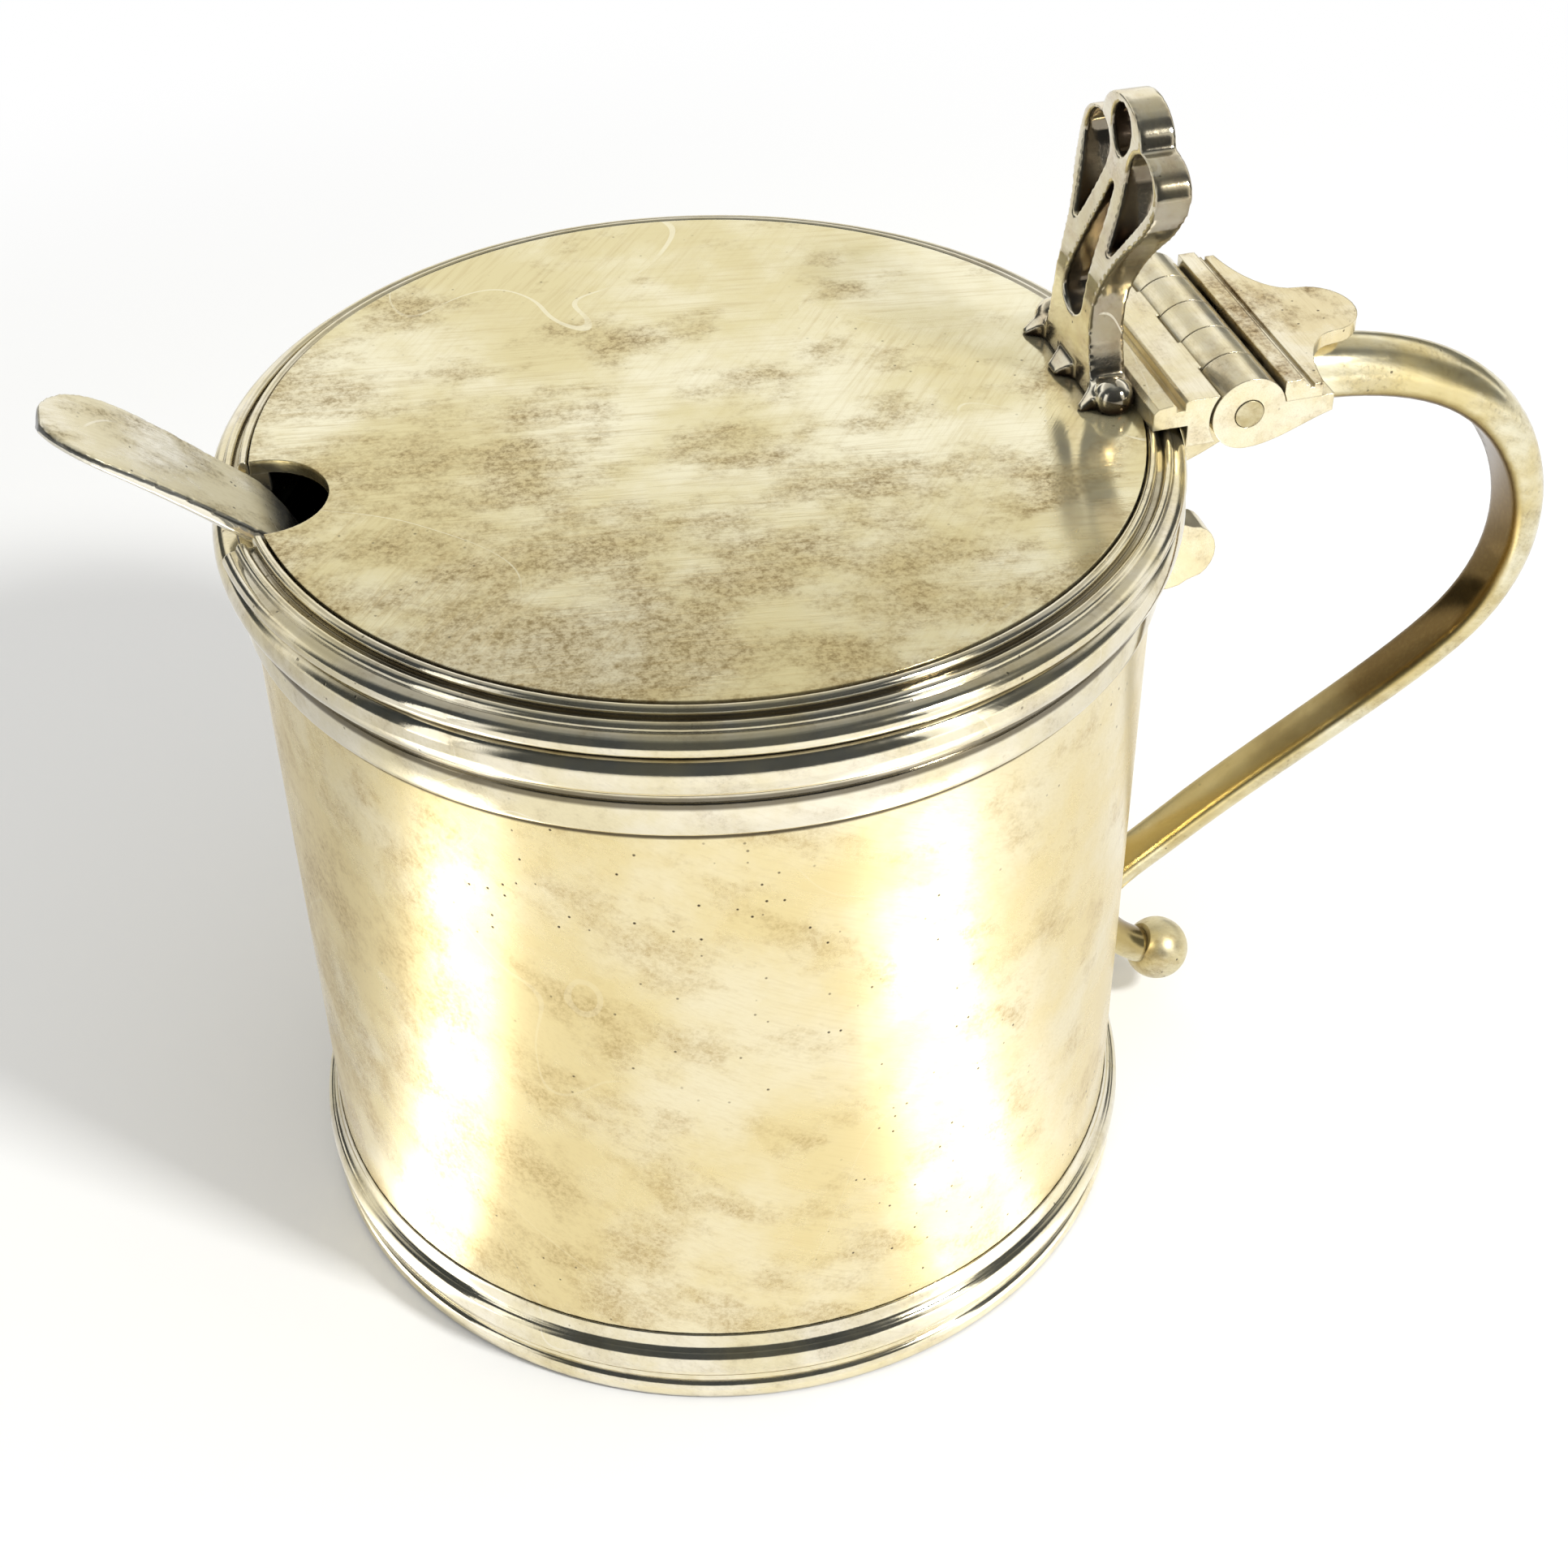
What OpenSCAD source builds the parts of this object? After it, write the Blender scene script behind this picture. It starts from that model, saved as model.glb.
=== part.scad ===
// Silver mustard pot: a straight drum with reeded mouldings, a flat hinged lid that is notched for
// its spoon, a pierced thumbpiece, a scroll handle and a glass liner.
// The drum stands on the plane Z = 0 with its axis on Z, and the hinge and handle lie toward +X.

/* [Drum] */
// Outer diameter of the drum wall
drum_d = 58.6; // [52:0.2:66]
// Thickness of the rolled silver sheet
sheet_t = 0.8; // [0.6:0.1:1.2]
// Height of the body, from the table to the rim that the lid closes on
body_h = 57.5; // [48:0.5:70]
// Height of the base's underside above the table
base_lift = 0.8; // [0.4:0.1:1.6]
// Thickness of the base
base_t = 1; // [0.8:0.1:1.6]

/* [Mouldings] */
// How far the rim's bead stands out from the drum
rim_proud = 1.6; // [1.2:0.1:2.2]
// Height of the rim moulding
rim_h = 6.1; // [5:0.1:8]
// How far the foot's large reed stands out from the drum
foot_proud = 1.1; // [0.8:0.1:1.8]
// Height of the foot moulding
foot_h = 6.2; // [5:0.1:8]

/* [Lid] */
// Thickness of the closed lid, from the rim to its flat top
lid_h = 2.3; // [2:0.1:3]
// Thickness of the lid's flat plate
lid_plate_t = 0.9; // [0.7:0.1:1.2]
// How far the lid's edge bead stands out from the drum
lid_proud = 1.5; // [1.2:0.1:2]
// Width of the reeded border round the flat plate
lid_border_w = 2.6; // [2.2:0.1:3.4]
// Width of the ledge under the plate's edge
lid_ledge_w = 1.2; // [0.8:0.1:2]
// Width of the spoon notch
notch_w = 8.3; // [7.8:0.1:10]
// Depth of the spoon notch, inward from the lid's edge
notch_l = 7.4; // [6.8:0.1:9]

/* [Hinge] */
// Length of the hinge
hinge_w = 17.6; // [15:0.2:20]
// Outer diameter of the knuckles
knuckle_d = 5; // [4.4:0.1:5.2]
// Diameter of the hinge pin
pin_d = 1.9; // [1.4:0.1:2.2]
// Distance of the pin's axis beyond the lid's edge
pin_out = 3; // [2.8:0.1:4]
// Height of the pin's axis above the lid's flat top
pin_up = 0.1; // [0:0.1:0.6]
// Length of the leaf that holds the lid's knuckles, inward from the pin
leaf_l = 6.6; // [6:0.1:7.2]
// Height of the leaf above the lid's flat top
leaf_h = 1.8; // [1.4:0.1:2.2]
// Length of the shield plate from the knuckles to the tip of its tongue
shield_l = 8.6; // [7.5:0.1:10]
// Width of the shield plate's tongue
tongue_w = 6; // [5:0.1:7]
// Thickness of the shield plate
shield_t = 1; // [0.8:0.1:1.4]

/* [Thumbpiece] */
// Height of the thumbpiece above the lid's flat top
thumb_h = 18.5; // [15:0.1:21]
// Greatest width of the thumbpiece
thumb_w = 12.6; // [11:0.1:15]
// Thickness of the thumbpiece, from front to back
thumb_t = 2.4; // [1.8:0.1:2.8]
// How far the thumbpiece's head leans back over the hinge
thumb_lean = 2.5; // [1.5:0.1:3.5]
// Width of the ribs between the piercings
thumb_rib = 0.85; // [0.75:0.05:1.2]

/* [Handle] */
// How far the inside of the handle stands out from the drum
handle_reach = 30.3; // [24:0.1:34]
// Width of the handle where it leaves the hinge
handle_root_w = 5.2; // [4.4:0.1:6]
// Thickness of the handle where it leaves the hinge
handle_root_t = 4; // [3.4:0.1:4.4]
// Width of the handle's tail
handle_tail_w = 3.2; // [2.6:0.1:3.8]
// Thickness of the handle's tail
handle_tail_t = 2.2; // [1.8:0.1:2.6]
// Height at which the tail meets the drum
tail_z = 11.6; // [10.5:0.1:14]
// Diameter of the ball at the end of the tail
ball_d = 5; // [4.2:0.1:5.6]
// How far the leaf under the hinge stands out from the drum
leaf_spur = 7.1; // [6:0.1:9]
// Width of the leaf under the hinge
leaf_spur_w = 2.4; // [2:0.1:4]

/* [Spoon] */
// Length of the spoon's handle outside the notch, measured level
spoon_out = 11.3; // [9:0.1:14]
// Rise of the spoon's handle above the rim
spoon_rise = 10.4; // [8:0.1:13]
// Greatest width of the spoon's handle
spoon_w = 7.6; // [6.4:0.1:7.6]
// Width of the spoon in the notch
spoon_neck_w = 6.6; // [5:0.1:6.8]
// Slope of the spoon's stem inside the pot, in degrees
stem_slope = 62; // [58:0.5:66]
// Width of the spoon's bowl
bowl_w = 14.8; // [12:0.1:17]
// Depth of the spoon's bowl
bowl_deep = 3.6; // [2.5:0.1:4.5]

/* [Glass liner] */
// Thickness of the liner's wall
liner_t = 1.8; // [1.4:0.1:2.2]
// Thickness of the liner's floor
liner_floor_t = 3; // [2:0.1:4]
// Distance of the liner's lip below the body's rim
liner_sunk = 5.5; // [5:0.1:9]

/* [Clearances] */
// Gap filled by solder between round faces
solder_gap = 0.05; // [0.03:0.01:0.08]
// Gap between pieces of the hinge that turn past each other
run_gap = 0.25; // [0.2:0.01:0.3]
// Gap between the hinge pin and the knuckles' bores
pin_gap = 0.05; // [0.03:0.01:0.08]
// Gap between the closed lid and the rim
seat_gap = 0.1; // [0.05:0.01:0.2]
// Gap between the glass liner and the drum
liner_gap = 0.7; // [0.5:0.1:1]
// Gap between the spoon and what it leans on
spoon_gap = 0.3; // [0.2:0.05:0.4]

/* [Hidden] */
$fn = 96;

silver = "#d8cfb4";
bright_silver = "#e4e0d4";
gilt_silver = "#cbb585";
dull_silver = "#b9b0a0";
cobalt = "#20306a";

drum_r = drum_d / 2;
bore_r = drum_r - sheet_t;
rim_r = drum_r + rim_proud;
fillet_r = drum_r + rim_proud * 0.38;
lid_r = drum_r + lid_proud;
lid_z = body_h + seat_gap;
lid_top = lid_z + lid_h;
plate_r = lid_r - lid_border_w;
floor_z = base_lift + base_t;
liner_r = bore_r - liner_gap;
liner_in = liner_r - liner_t;
liner_floor_z = floor_z + liner_floor_t;
liner_top = body_h - liner_sunk;

knuckle_count = 5;
knuckle_r = knuckle_d / 2;
knuckle_l = hinge_w / knuckle_count;
pin_r = pin_d / 2;
pin_x = lid_r + pin_out;
pin_z = lid_top + pin_up;
end_gap = 0.1;
// How far a cut runs past the piece that it opens
past_end = 1;

// The leaf and the bracket stop short of each other's knuckles. The shield lies on the bracket, and its
// front end is as near the knuckles as the opened leaf allows.
leaf_x = pin_x - leaf_l;
leaf_top = lid_top + leaf_h;
leaf_bottom = lid_z + lid_h / 3;
shield_x = pin_x + knuckle_r * 0.92;
field_x = pin_x + knuckle_r + run_gap;
shield_tip_x = pin_x + knuckle_r + shield_l;
shield_sunk = 1;
shield_z = pin_z + knuckle_r - shield_sunk;
bracket_top = shield_z - shield_t;
bracket_tail = 3.3;
bracket_x = pin_x + knuckle_r + bracket_tail;
bracket_low = body_h - rim_h * 0.43;
bracket_under = body_h - seat_gap;

// The handle starts as a straight bar under the shield plate.
root_out = 0.4;
root_cover = 0.7;
root_x = pin_x + knuckle_r + root_out;
root_top = bracket_top - root_cover;
root_z = root_top - handle_root_t;
web_low = body_h - rim_h - solder_gap;

// The thumbpiece stands against the front of the leaf.
thumb_x = leaf_x - solder_gap - thumb_t;

// The spoon bends just inside the wall, a little above the rim.
stem_w = 3.6;
stem_t = 1.8;
bend_x = -bore_r + stem_t * 0.82;
bend_z = body_h + 1.4;
spoon_edge_t = 1.1;

// Point on a cubic curve with four control points
function bezier(p, t) = pow(1 - t, 3) * p[0] + 3 * t * pow(1 - t, 2) * p[1]
    + 3 * t * t * (1 - t) * p[2] + pow(t, 3) * p[3];

// Points along a cubic curve, with both ends
function curve(p, n) = [for (i = [0 : n]) bezier(p, i / n)];

// Points along an elliptical arc round a centre, with both ends
function arc(c, rx, ry, a0, a1, n) =
    [for (i = [0 : n]) let (a = a0 + (a1 - a0) * i / n) c + [rx * cos(a), ry * sin(a)]];

// Outline of a drop: a small circle at p and a large one at q, joined by their tangents
function drop(p, rp, q, rq, n) =
    let (v = q - p, a = atan2(v[1], v[0]), f = acos((rp - rq) / norm(v)))
    concat(arc(q, rq, rq, a - f, a + f, n), arc(p, rp, rp, a + f, a + 360 - f, n));

// Points mirrored across the second axis, in reverse order
function mirrored(pts) = [for (i = [len(pts) - 1 : -1 : 0]) [-pts[i][0], pts[i][1]]];

// Value between a and b
function mix(a, b, t) = a + (b - a) * t;

// Value that eases from 0 to 1
function ease(t) = let (c = max(0, min(1, t))) c * c * (3 - 2 * c);

// Unit tangent of a path at one of its points
function tangent(path, i) =
    let (d = path[min(i + 1, len(path) - 1)] - path[max(i - 1, 0)]) d / norm(d);

// Section ring of a path that lies in the XZ plane: across runs along Y, out to the left of the path
function ring(path, i, outline) =
    let (p = path[i], t = tangent(path, i))
    [for (q = outline) [p[0] - t[1] * q[1], q[0], p[1] + t[0] * q[1]]];

// Solid through a row of section rings
module loft(rings) {
    n = len(rings[0]);
    last = len(rings) - 1;
    sides = [
        for (i = [0 : last - 1], j = [0 : n - 1])
            let (k = (j + 1) % n, a = i * n, b = (i + 1) * n)
            each [[a + j, b + j, b + k], [a + j, b + k, a + k]]
    ];
    first_cap = [for (j = [0 : n - 1]) j];
    last_cap = [for (j = [n - 1 : -1 : 0]) last * n + j];
    polyhedron([for (r = rings) each r], concat(sides, [first_cap, last_cap]), convexity = 8);
}

// Bar along Y with an outline in the XZ plane
module bar_y(outline, w) {
    rotate([90, 0, 0])
        linear_extrude(w, center = true)
            polygon(outline);
}

// Rod along Y through the hinge's axis
module hinge_rod(r, y0, y1) {
    translate([pin_x, y1, pin_z])
        rotate([90, 0, 0])
            cylinder(r = r, h = y1 - y0);
}

// Where knuckle i starts along Y
function knuckle_y(i) = -hinge_w / 2 + i * knuckle_l;

// Barrel of one knuckle, with its bore
module knuckle(i) {
    difference() {
        hinge_rod(knuckle_r, knuckle_y(i) + end_gap / 2, knuckle_y(i + 1) - end_gap / 2);
        hinge_rod(pin_r + pin_gap, knuckle_y(i) - past_end, knuckle_y(i + 1) + past_end);
    }
}

// Channel round all knuckles: tight on those of one side (0 or 1), free and longer round the others
module knuckle_channel(side) {
    hinge_rod(knuckle_r + solder_gap, -hinge_w / 2 - past_end, hinge_w / 2 + past_end);
    for (i = [1 - side : 2 : knuckle_count - 1]) {
        y0 = knuckle_y(i) - (i == 0 ? past_end : end_gap);
        y1 = knuckle_y(i + 1) + (i == knuckle_count - 1 ? past_end : end_gap);
        hinge_rod(knuckle_r + run_gap, y0, y1);
    }
}

module body_wall() {
    color(silver)
        rotate_extrude()
            translate([bore_r, 0])
                square([sheet_t, body_h]);
}

module base_plate() {
    color(silver)
        translate([0, 0, base_lift])
            cylinder(r = bore_r - solder_gap, h = base_t);
}

// Foot: a bead on the table, a groove, a large reed and a cove up to the wall
module foot_rim() {
    in_r = drum_r + solder_gap;
    bead_h = foot_h * 0.27;
    groove_z = foot_h * 0.33;
    reed_z0 = foot_h * 0.4;
    reed_z1 = foot_h * 0.79;
    groove_r = drum_r + foot_proud * 0.45;
    bead_proud = foot_proud * 0.35;
    reed_proud = foot_proud * 0.55;
    cove_w = foot_proud * 0.4;
    color(bright_silver)
        rotate_extrude()
            polygon(concat(
                [[in_r, 0]],
                arc([groove_r, bead_h / 2], bead_proud, bead_h / 2, -90, 90, 12),
                [[groove_r, groove_z]],
                arc([groove_r, (reed_z0 + reed_z1) / 2], reed_proud, (reed_z1 - reed_z0) / 2, -90, 90, 14),
                arc([drum_r + reed_proud, foot_h], cove_w, foot_h - reed_z1, -90, -170, 6),
                [[in_r, foot_h]]
            ));
}

// Rim: a large bead under the lid, a groove, a flat fillet and a cove down to the wall
module body_rim() {
    in_r = drum_r + solder_gap;
    low = body_h - rim_h;
    bead_h = rim_h * 0.44;
    groove_z = body_h - rim_h * 0.54;
    fillet_top = body_h - rim_h * 0.62;
    fillet_low = body_h - rim_h * 0.9;
    groove_r = drum_r + rim_proud * 0.4;
    groove_deep = 0.2;
    edge_r = drum_r + rim_proud * 0.1;
    round_w = 0.15;
    round_h = 0.3;
    color(bright_silver)
        rotate_extrude()
            polygon(concat(
                [[in_r, low], [edge_r, low]],
                arc([edge_r, fillet_low], fillet_r - edge_r, fillet_low - low, -60, 0, 4),
                arc([fillet_r - round_w, fillet_top], round_w, round_h, 0, 90, 3),
                [[groove_r - groove_deep, groove_z]],
                arc([groove_r, body_h - bead_h / 2], rim_r - groove_r, bead_h / 2, -90, 90, 16),
                [[in_r, body_h]]
            ));
}

// Liner: a plain cup with a rounded lip and a rounded foot
module glass_liner() {
    lip = liner_t / 2;
    foot = 1.2;
    hollow = 2.5;
    color(cobalt, 0.8)
        rotate_extrude()
            polygon(concat(
                [[0, floor_z]],
                arc([liner_r - foot, floor_z + foot], foot, foot, -90, 0, 6),
                arc([liner_r - lip, liner_top - lip], lip, lip, 0, 180, 8),
                arc([liner_in - hollow, liner_floor_z + hollow], hollow, hollow, 0, -90, 6),
                [[0, liner_floor_z]]
            ));
}

// Side view of the bracket: a floor under the knuckles and a tail that thins out under the shield
function bracket_outline() =
    let (
        tail_t = 1,
        sag = 1.1,
        lip = 0.6
    )
    concat(
        [
            [drum_r, bracket_low],
            [drum_r, bracket_under],
            [pin_x, bracket_under],
            [pin_x, bracket_top],
            [bracket_x, bracket_top]
        ],
        curve([
            [bracket_x, bracket_top - tail_t],
            [mix(pin_x, bracket_x, 0.57), bracket_top - tail_t - sag],
            [pin_x + lip, bracket_low + sag],
            [rim_r + lip, bracket_low]
        ], 10)
    );

// Side view of the web between the drum, the bracket and the handle's root
function web_outline() =
    let (
        into = 0.5,
        lip = 0.2
    )
    concat(
        [[drum_r, web_low], [drum_r, bracket_low + into], [root_x, root_top - into]],
        curve([
            [root_x, root_z],
            [pin_x + into, root_z - lip],
            [rim_r + 2 * into, mix(web_low, root_z, 0.8)],
            [rim_r + lip, web_low]
        ], 8)
    );

// Section of the handle at its share s of the way down: flat inside with round corners, round outside
function handle_outline(s, grow = 0) =
    let (
        thin = 1 - pow(1 - s, 1.6),
        w = mix(handle_root_w, handle_tail_w, thin) / 2 + grow,
        t = mix(handle_root_t, handle_tail_t, thin),
        corner = t * 0.2,
        side = t * 0.24
    )
    concat(
        arc([corner - w, corner - grow], corner, corner, 180, 270, 3),
        arc([w - corner, corner - grow], corner, corner, 270, 360, 3),
        arc([0, side], w, t - side + grow, 0, 180, 14)
    );

// The space that the rim moulding takes, with room for solder
module rim_space() {
    translate([0, 0, bracket_low - rim_h * 0.15])
        cylinder(r = rim_r + solder_gap, h = rim_h);
    translate([0, 0, body_h - rim_h - past_end])
        cylinder(r = fillet_r + solder_gap, h = rim_h);
}

module hinge_bracket() {
    color(silver)
        difference() {
            union() {
                bar_y(bracket_outline(), hinge_w - 2 * knuckle_l + end_gap);
                bar_y(web_outline(), handle_root_w);
            }
            rim_space();
            knuckle_channel(0);
            translate([root_x, 0, root_z])
                rotate([90, 0, 90])
                    linear_extrude(bracket_x - root_x + past_end)
                        polygon(handle_outline(0, solder_gap));
        }
}

// Half of the shield's plan: a full-width end, an ogee side and a round tongue
function shield_half() =
    let (
        x0 = field_x,
        x1 = shield_tip_x,
        w = hinge_w / 2,
        tw = tongue_w / 2,
        waist = x1 - tw * 0.9
    )
    concat(
        [[w, shield_x]],
        curve([
            [w, mix(x0, x1, 0.26)],
            [w * 0.66, mix(x0, x1, 0.3)],
            [tw * 1.02, mix(x0, x1, 0.45)],
            [tw, waist]
        ], 10),
        arc([0, waist], tw, x1 - waist, 15, 90, 7)
    );

// Shield plate: a raised bar beside the knuckles, a fine line and a flat field that ends in a tongue
module shield_plate() {
    bar_w = knuckle_r * 0.56;
    bar_h = 0.45;
    bar_edge = 0.25;
    line_w = 0.3;
    line_deep = 0.25;
    line_x = shield_x + bar_w + line_w;
    half = shield_half();
    color(silver)
        difference() {
            union() {
                translate([0, 0, bracket_top])
                    linear_extrude(shield_t)
                        rotate(-90)
                            polygon(concat(half, mirrored(half)));
                bar_y([
                    [shield_x, shield_z - shield_t / 2],
                    [shield_x + bar_w, shield_z - shield_t / 2],
                    [shield_x + bar_w, shield_z + bar_h - bar_edge],
                    [shield_x + bar_w - bar_edge, shield_z + bar_h],
                    [shield_x, shield_z + bar_h]
                ], hinge_w);
            }
            bar_y([
                [line_x, shield_z + past_end],
                [line_x, shield_z - line_deep],
                [line_x + line_w, shield_z - line_deep],
                [line_x + line_w, shield_z + past_end]
            ], hinge_w + 2 * past_end);
            knuckle_channel(0);
        }
}

// Side view of a cheek: it runs back from the barrel and thins out under the shield
function cheek_outline() =
    let (
        tail_t = 1.2,
        sag = 0.6,
        low = pin_z - knuckle_r
    )
    concat(
        [[bracket_x, bracket_top], [pin_x, bracket_top]],
        curve([
            [pin_x, low],
            [mix(pin_x, bracket_x, 0.35), low],
            [mix(pin_x, bracket_x, 0.65), bracket_top - tail_t - sag],
            [bracket_x, bracket_top - tail_t]
        ], 10)
    );

// Outer knuckle of the pot: a barrel in one piece with the cheek at that end of the bracket
module cheek_knuckle(i) {
    difference() {
        union() {
            hinge_rod(knuckle_r, knuckle_y(i) + end_gap / 2, knuckle_y(i + 1) - end_gap / 2);
            translate([0, knuckle_y(i) + knuckle_l / 2, 0])
                bar_y(cheek_outline(), knuckle_l - end_gap);
        }
        hinge_rod(pin_r + pin_gap, knuckle_y(i) - past_end, knuckle_y(i + 1) + past_end);
    }
}

module pot_knuckle_near() {
    color(silver) cheek_knuckle(0);
}

module pot_knuckle_mid() {
    color(silver) knuckle(2);
}

module pot_knuckle_far() {
    color(silver) cheek_knuckle(4);
}

module lid_knuckle_near() {
    color(silver) knuckle(1);
}

module lid_knuckle_far() {
    color(silver) knuckle(3);
}

module hinge_pin() {
    color(dull_silver) hinge_rod(pin_r, -hinge_w / 2, hinge_w / 2);
}

// Inside line of the handle, as shares of its reach and of its height above the tail's contact
function handle_x(f) = drum_r + solder_gap + f * handle_reach;
function handle_z(f) = tail_z + f * (root_z - tail_z);
function handle_point(p) = [handle_x(p[0]), handle_z(p[1])];
function handle_curve(p, n) = curve([for (q = p) handle_point(q)], n);

handle_from = [[root_x, root_z], [mix(root_x, handle_x(1), 0.3), root_z]];
handle_upper = concat(handle_from, [handle_point([0.785, 1]), handle_point([0.937, 0.815])]);
handle_bow = [[0.937, 0.815], [1.022, 0.712], [1.032, 0.58], [0.876, 0.48]];
handle_lower = [[0.876, 0.48], [0.72, 0.38], [0.43, 0.275], [0.198, 0.151]];
handle_foot = [[0.198, 0.151], [0.093, 0.096], [0, 0.06], [0, 0]];
kick_out = 4.4;
kick_down = 6.6;
kick = [
    [handle_x(0), tail_z],
    [handle_x(0), tail_z - kick_down * 0.4],
    [handle_x(0) + kick_out * 0.4, tail_z - kick_down * 0.76],
    [handle_x(0) + kick_out, tail_z - kick_down]
];
function but_first(pts) = [for (i = [1 : len(pts) - 1]) pts[i]];
handle_path = concat(
    curve(handle_upper, 20),
    but_first(handle_curve(handle_bow, 16)),
    but_first(handle_curve(handle_lower, 12)),
    but_first(handle_curve(handle_foot, 8)),
    but_first(curve(kick, 10))
);

module handle() {
    last = len(handle_path) - 1;
    color(gilt_silver)
        loft([for (i = [0 : last]) ring(handle_path, i, handle_outline(i / last))]);
}

// Ball with a flat where it sits on the end of the tail
module handle_ball() {
    last = len(handle_path) - 1;
    end = handle_path[last];
    t = tangent(handle_path, last);
    up = handle_tail_t / 2;
    seat = ball_d * 0.4;
    slope = atan2(t[1], t[0]);
    color(gilt_silver)
        translate([end[0] - t[1] * up, 0, end[1] + t[0] * up])
            rotate([0, -slope, 0])
                difference() {
                    translate([seat, 0, 0]) sphere(d = ball_d);
                    translate([-ball_d, -ball_d, -ball_d]) cube([ball_d, 2 * ball_d, 2 * ball_d]);
                }
}

// Side view of the leaf under the hinge: a strip down the drum that turns out into a round spur
leaf_spur_h = 10.4;
function leaf_outline() =
    let (
        top = web_low,
        low = top - leaf_spur_h,
        inside = drum_r - 1,
        strip = rim_r + 0.2,
        nose_w = 1.9,
        nose_h = 2.2,
        nose_x = drum_r + leaf_spur - nose_w,
        nose_z = top - leaf_spur_h * 0.69,
        shoulder = top - leaf_spur_h * 0.36
    )
    concat(
        [[inside, top], [strip, top]],
        curve([
            [strip, top - 1],
            [strip, shoulder],
            [strip + 1, shoulder],
            [nose_x, nose_z + nose_h]
        ], 6),
        arc([nose_x, nose_z], nose_w, nose_h, 70, -60, 8),
        curve([
            [nose_x, nose_z - nose_h],
            [nose_x - 1, low],
            [drum_r + nose_w, low + 1],
            [inside, low]
        ], 6)
    );

module handle_leaf() {
    color(silver)
        difference() {
            bar_y(leaf_outline(), leaf_spur_w);
            translate([0, 0, web_low - 2 * leaf_spur_h])
                cylinder(r = drum_r + solder_gap, h = 3 * leaf_spur_h);
        }
}

// The spoon's notch, open at the lid's edge
module notch_cut() {
    r = notch_w / 2;
    x = -(lid_r - notch_l + r);
    translate([x, 0, lid_z - past_end])
        cylinder(r = r, h = lid_h + 2 * past_end);
    translate([x - lid_r, -r, lid_z - past_end])
        cube([lid_r, notch_w, lid_h + 2 * past_end]);
}

module lid_plate() {
    color(silver)
        difference() {
            translate([0, 0, lid_top - lid_plate_t])
                cylinder(r = plate_r - solder_gap, h = lid_plate_t);
            notch_cut();
        }
}

// Lid border: a ledge under the plate, a fine reed, a groove, a second reed and a large edge bead
module lid_rim() {
    b = lid_border_w;
    edge_r = lid_r - b * 0.33;
    reed_w = b * 0.13;
    reed_h = 0.4;
    low_z = lid_top - 0.78;
    bead_h = lid_h * 0.63;
    bead_top = lid_z + bead_h;
    color(bright_silver)
        difference() {
            rotate_extrude()
                polygon(concat(
                    [[plate_r - lid_ledge_w, lid_z]],
                    arc([edge_r, (lid_z + bead_top) / 2], lid_r - edge_r, bead_h / 2, -90, 90, 14),
                    [[edge_r, low_z]],
                    arc([plate_r + 4 * reed_w, low_z], reed_w, reed_h, 0, 180, 8),
                    [[plate_r + 2 * reed_w, low_z]],
                    arc([plate_r + reed_w, lid_top - reed_h], reed_w, reed_h, 0, 180, 8),
                    [[plate_r, lid_top - lid_plate_t], [plate_r - lid_ledge_w, lid_top - lid_plate_t]]
                ));
            notch_cut();
        }
}

// Leaf on the lid: two bars with a groove between them, hollowed round the knuckles
module lid_leaf() {
    front = leaf_x;
    back = pin_x - knuckle_r * 0.4;
    groove_x0 = front + leaf_l * 0.23;
    groove_x1 = groove_x0 + 0.6;
    groove_deep = 0.7;
    bevel = 0.3;
    edge = 0.15;
    color(silver)
        difference() {
            bar_y([
                [front, leaf_bottom],
                [back, leaf_bottom],
                [back, leaf_top],
                [groove_x1 + edge, leaf_top],
                [groove_x1, leaf_top - edge],
                [groove_x1, leaf_top - groove_deep],
                [groove_x0, leaf_top - groove_deep],
                [groove_x0, leaf_top - bevel],
                [groove_x0 - edge, leaf_top - edge],
                [front + bevel, leaf_top - bevel],
                [front, leaf_top - 2 * bevel]
            ], hinge_w);
            translate([0, 0, lid_z])
                cylinder(r = lid_r + solder_gap, h = lid_h);
            knuckle_channel(1);
        }
}

// Front of the thumbpiece at its share s of the height: upright at its foot, then leaning back
function thumb_front(s) = thumb_x + thumb_lean * ease((s - 0.26) / 0.56);

// Place on the thumbpiece's face, as a share of its half width and of its height
function on_face(u, v) = [u * thumb_w / 2, lid_top + v * thumb_h];
function face_curve(p, n) = curve([for (q = p) on_face(q[0], q[1])], n);

// Half of the thumbpiece's front view: a waisted stem, a round side lobe and half of a middle lobe
function thumb_half() = concat(
    face_curve([[0.73, 0], [0.42, 0.25], [0.42, 0.44], [0.8, 0.59]], 14),
    but_first(face_curve([[0.8, 0.59], [0.99, 0.665], [1.22, 0.87], [0.51, 0.878]], 16)),
    but_first(face_curve([[0.51, 0.878], [0.5, 0.94], [0.3, 1], [0, 1]], 8))
);

// Bar straight through the thumbpiece from front to back, with an outline across (Y) and up (Z)
module pierce(outline) {
    translate([thumb_x - thumb_h / 2, 0, 0])
        rotate([90, 0, 90])
            linear_extrude(thumb_h)
                polygon(outline);
}

module thumb_plate() {
    steps = 24;
    up = [for (i = [0 : steps]) i / steps];
    down = [for (i = [steps : -1 : 0]) i / steps];
    front = [for (s = up) [thumb_front(s), lid_top + thumb_h * s]];
    back = [for (s = down) [thumb_front(s) + thumb_t, lid_top + thumb_h * s]];
    half = thumb_half();
    intersection() {
        bar_y(concat(front, back), thumb_w + past_end);
        pierce(concat(half, mirrored(half)));
    }
}

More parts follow.
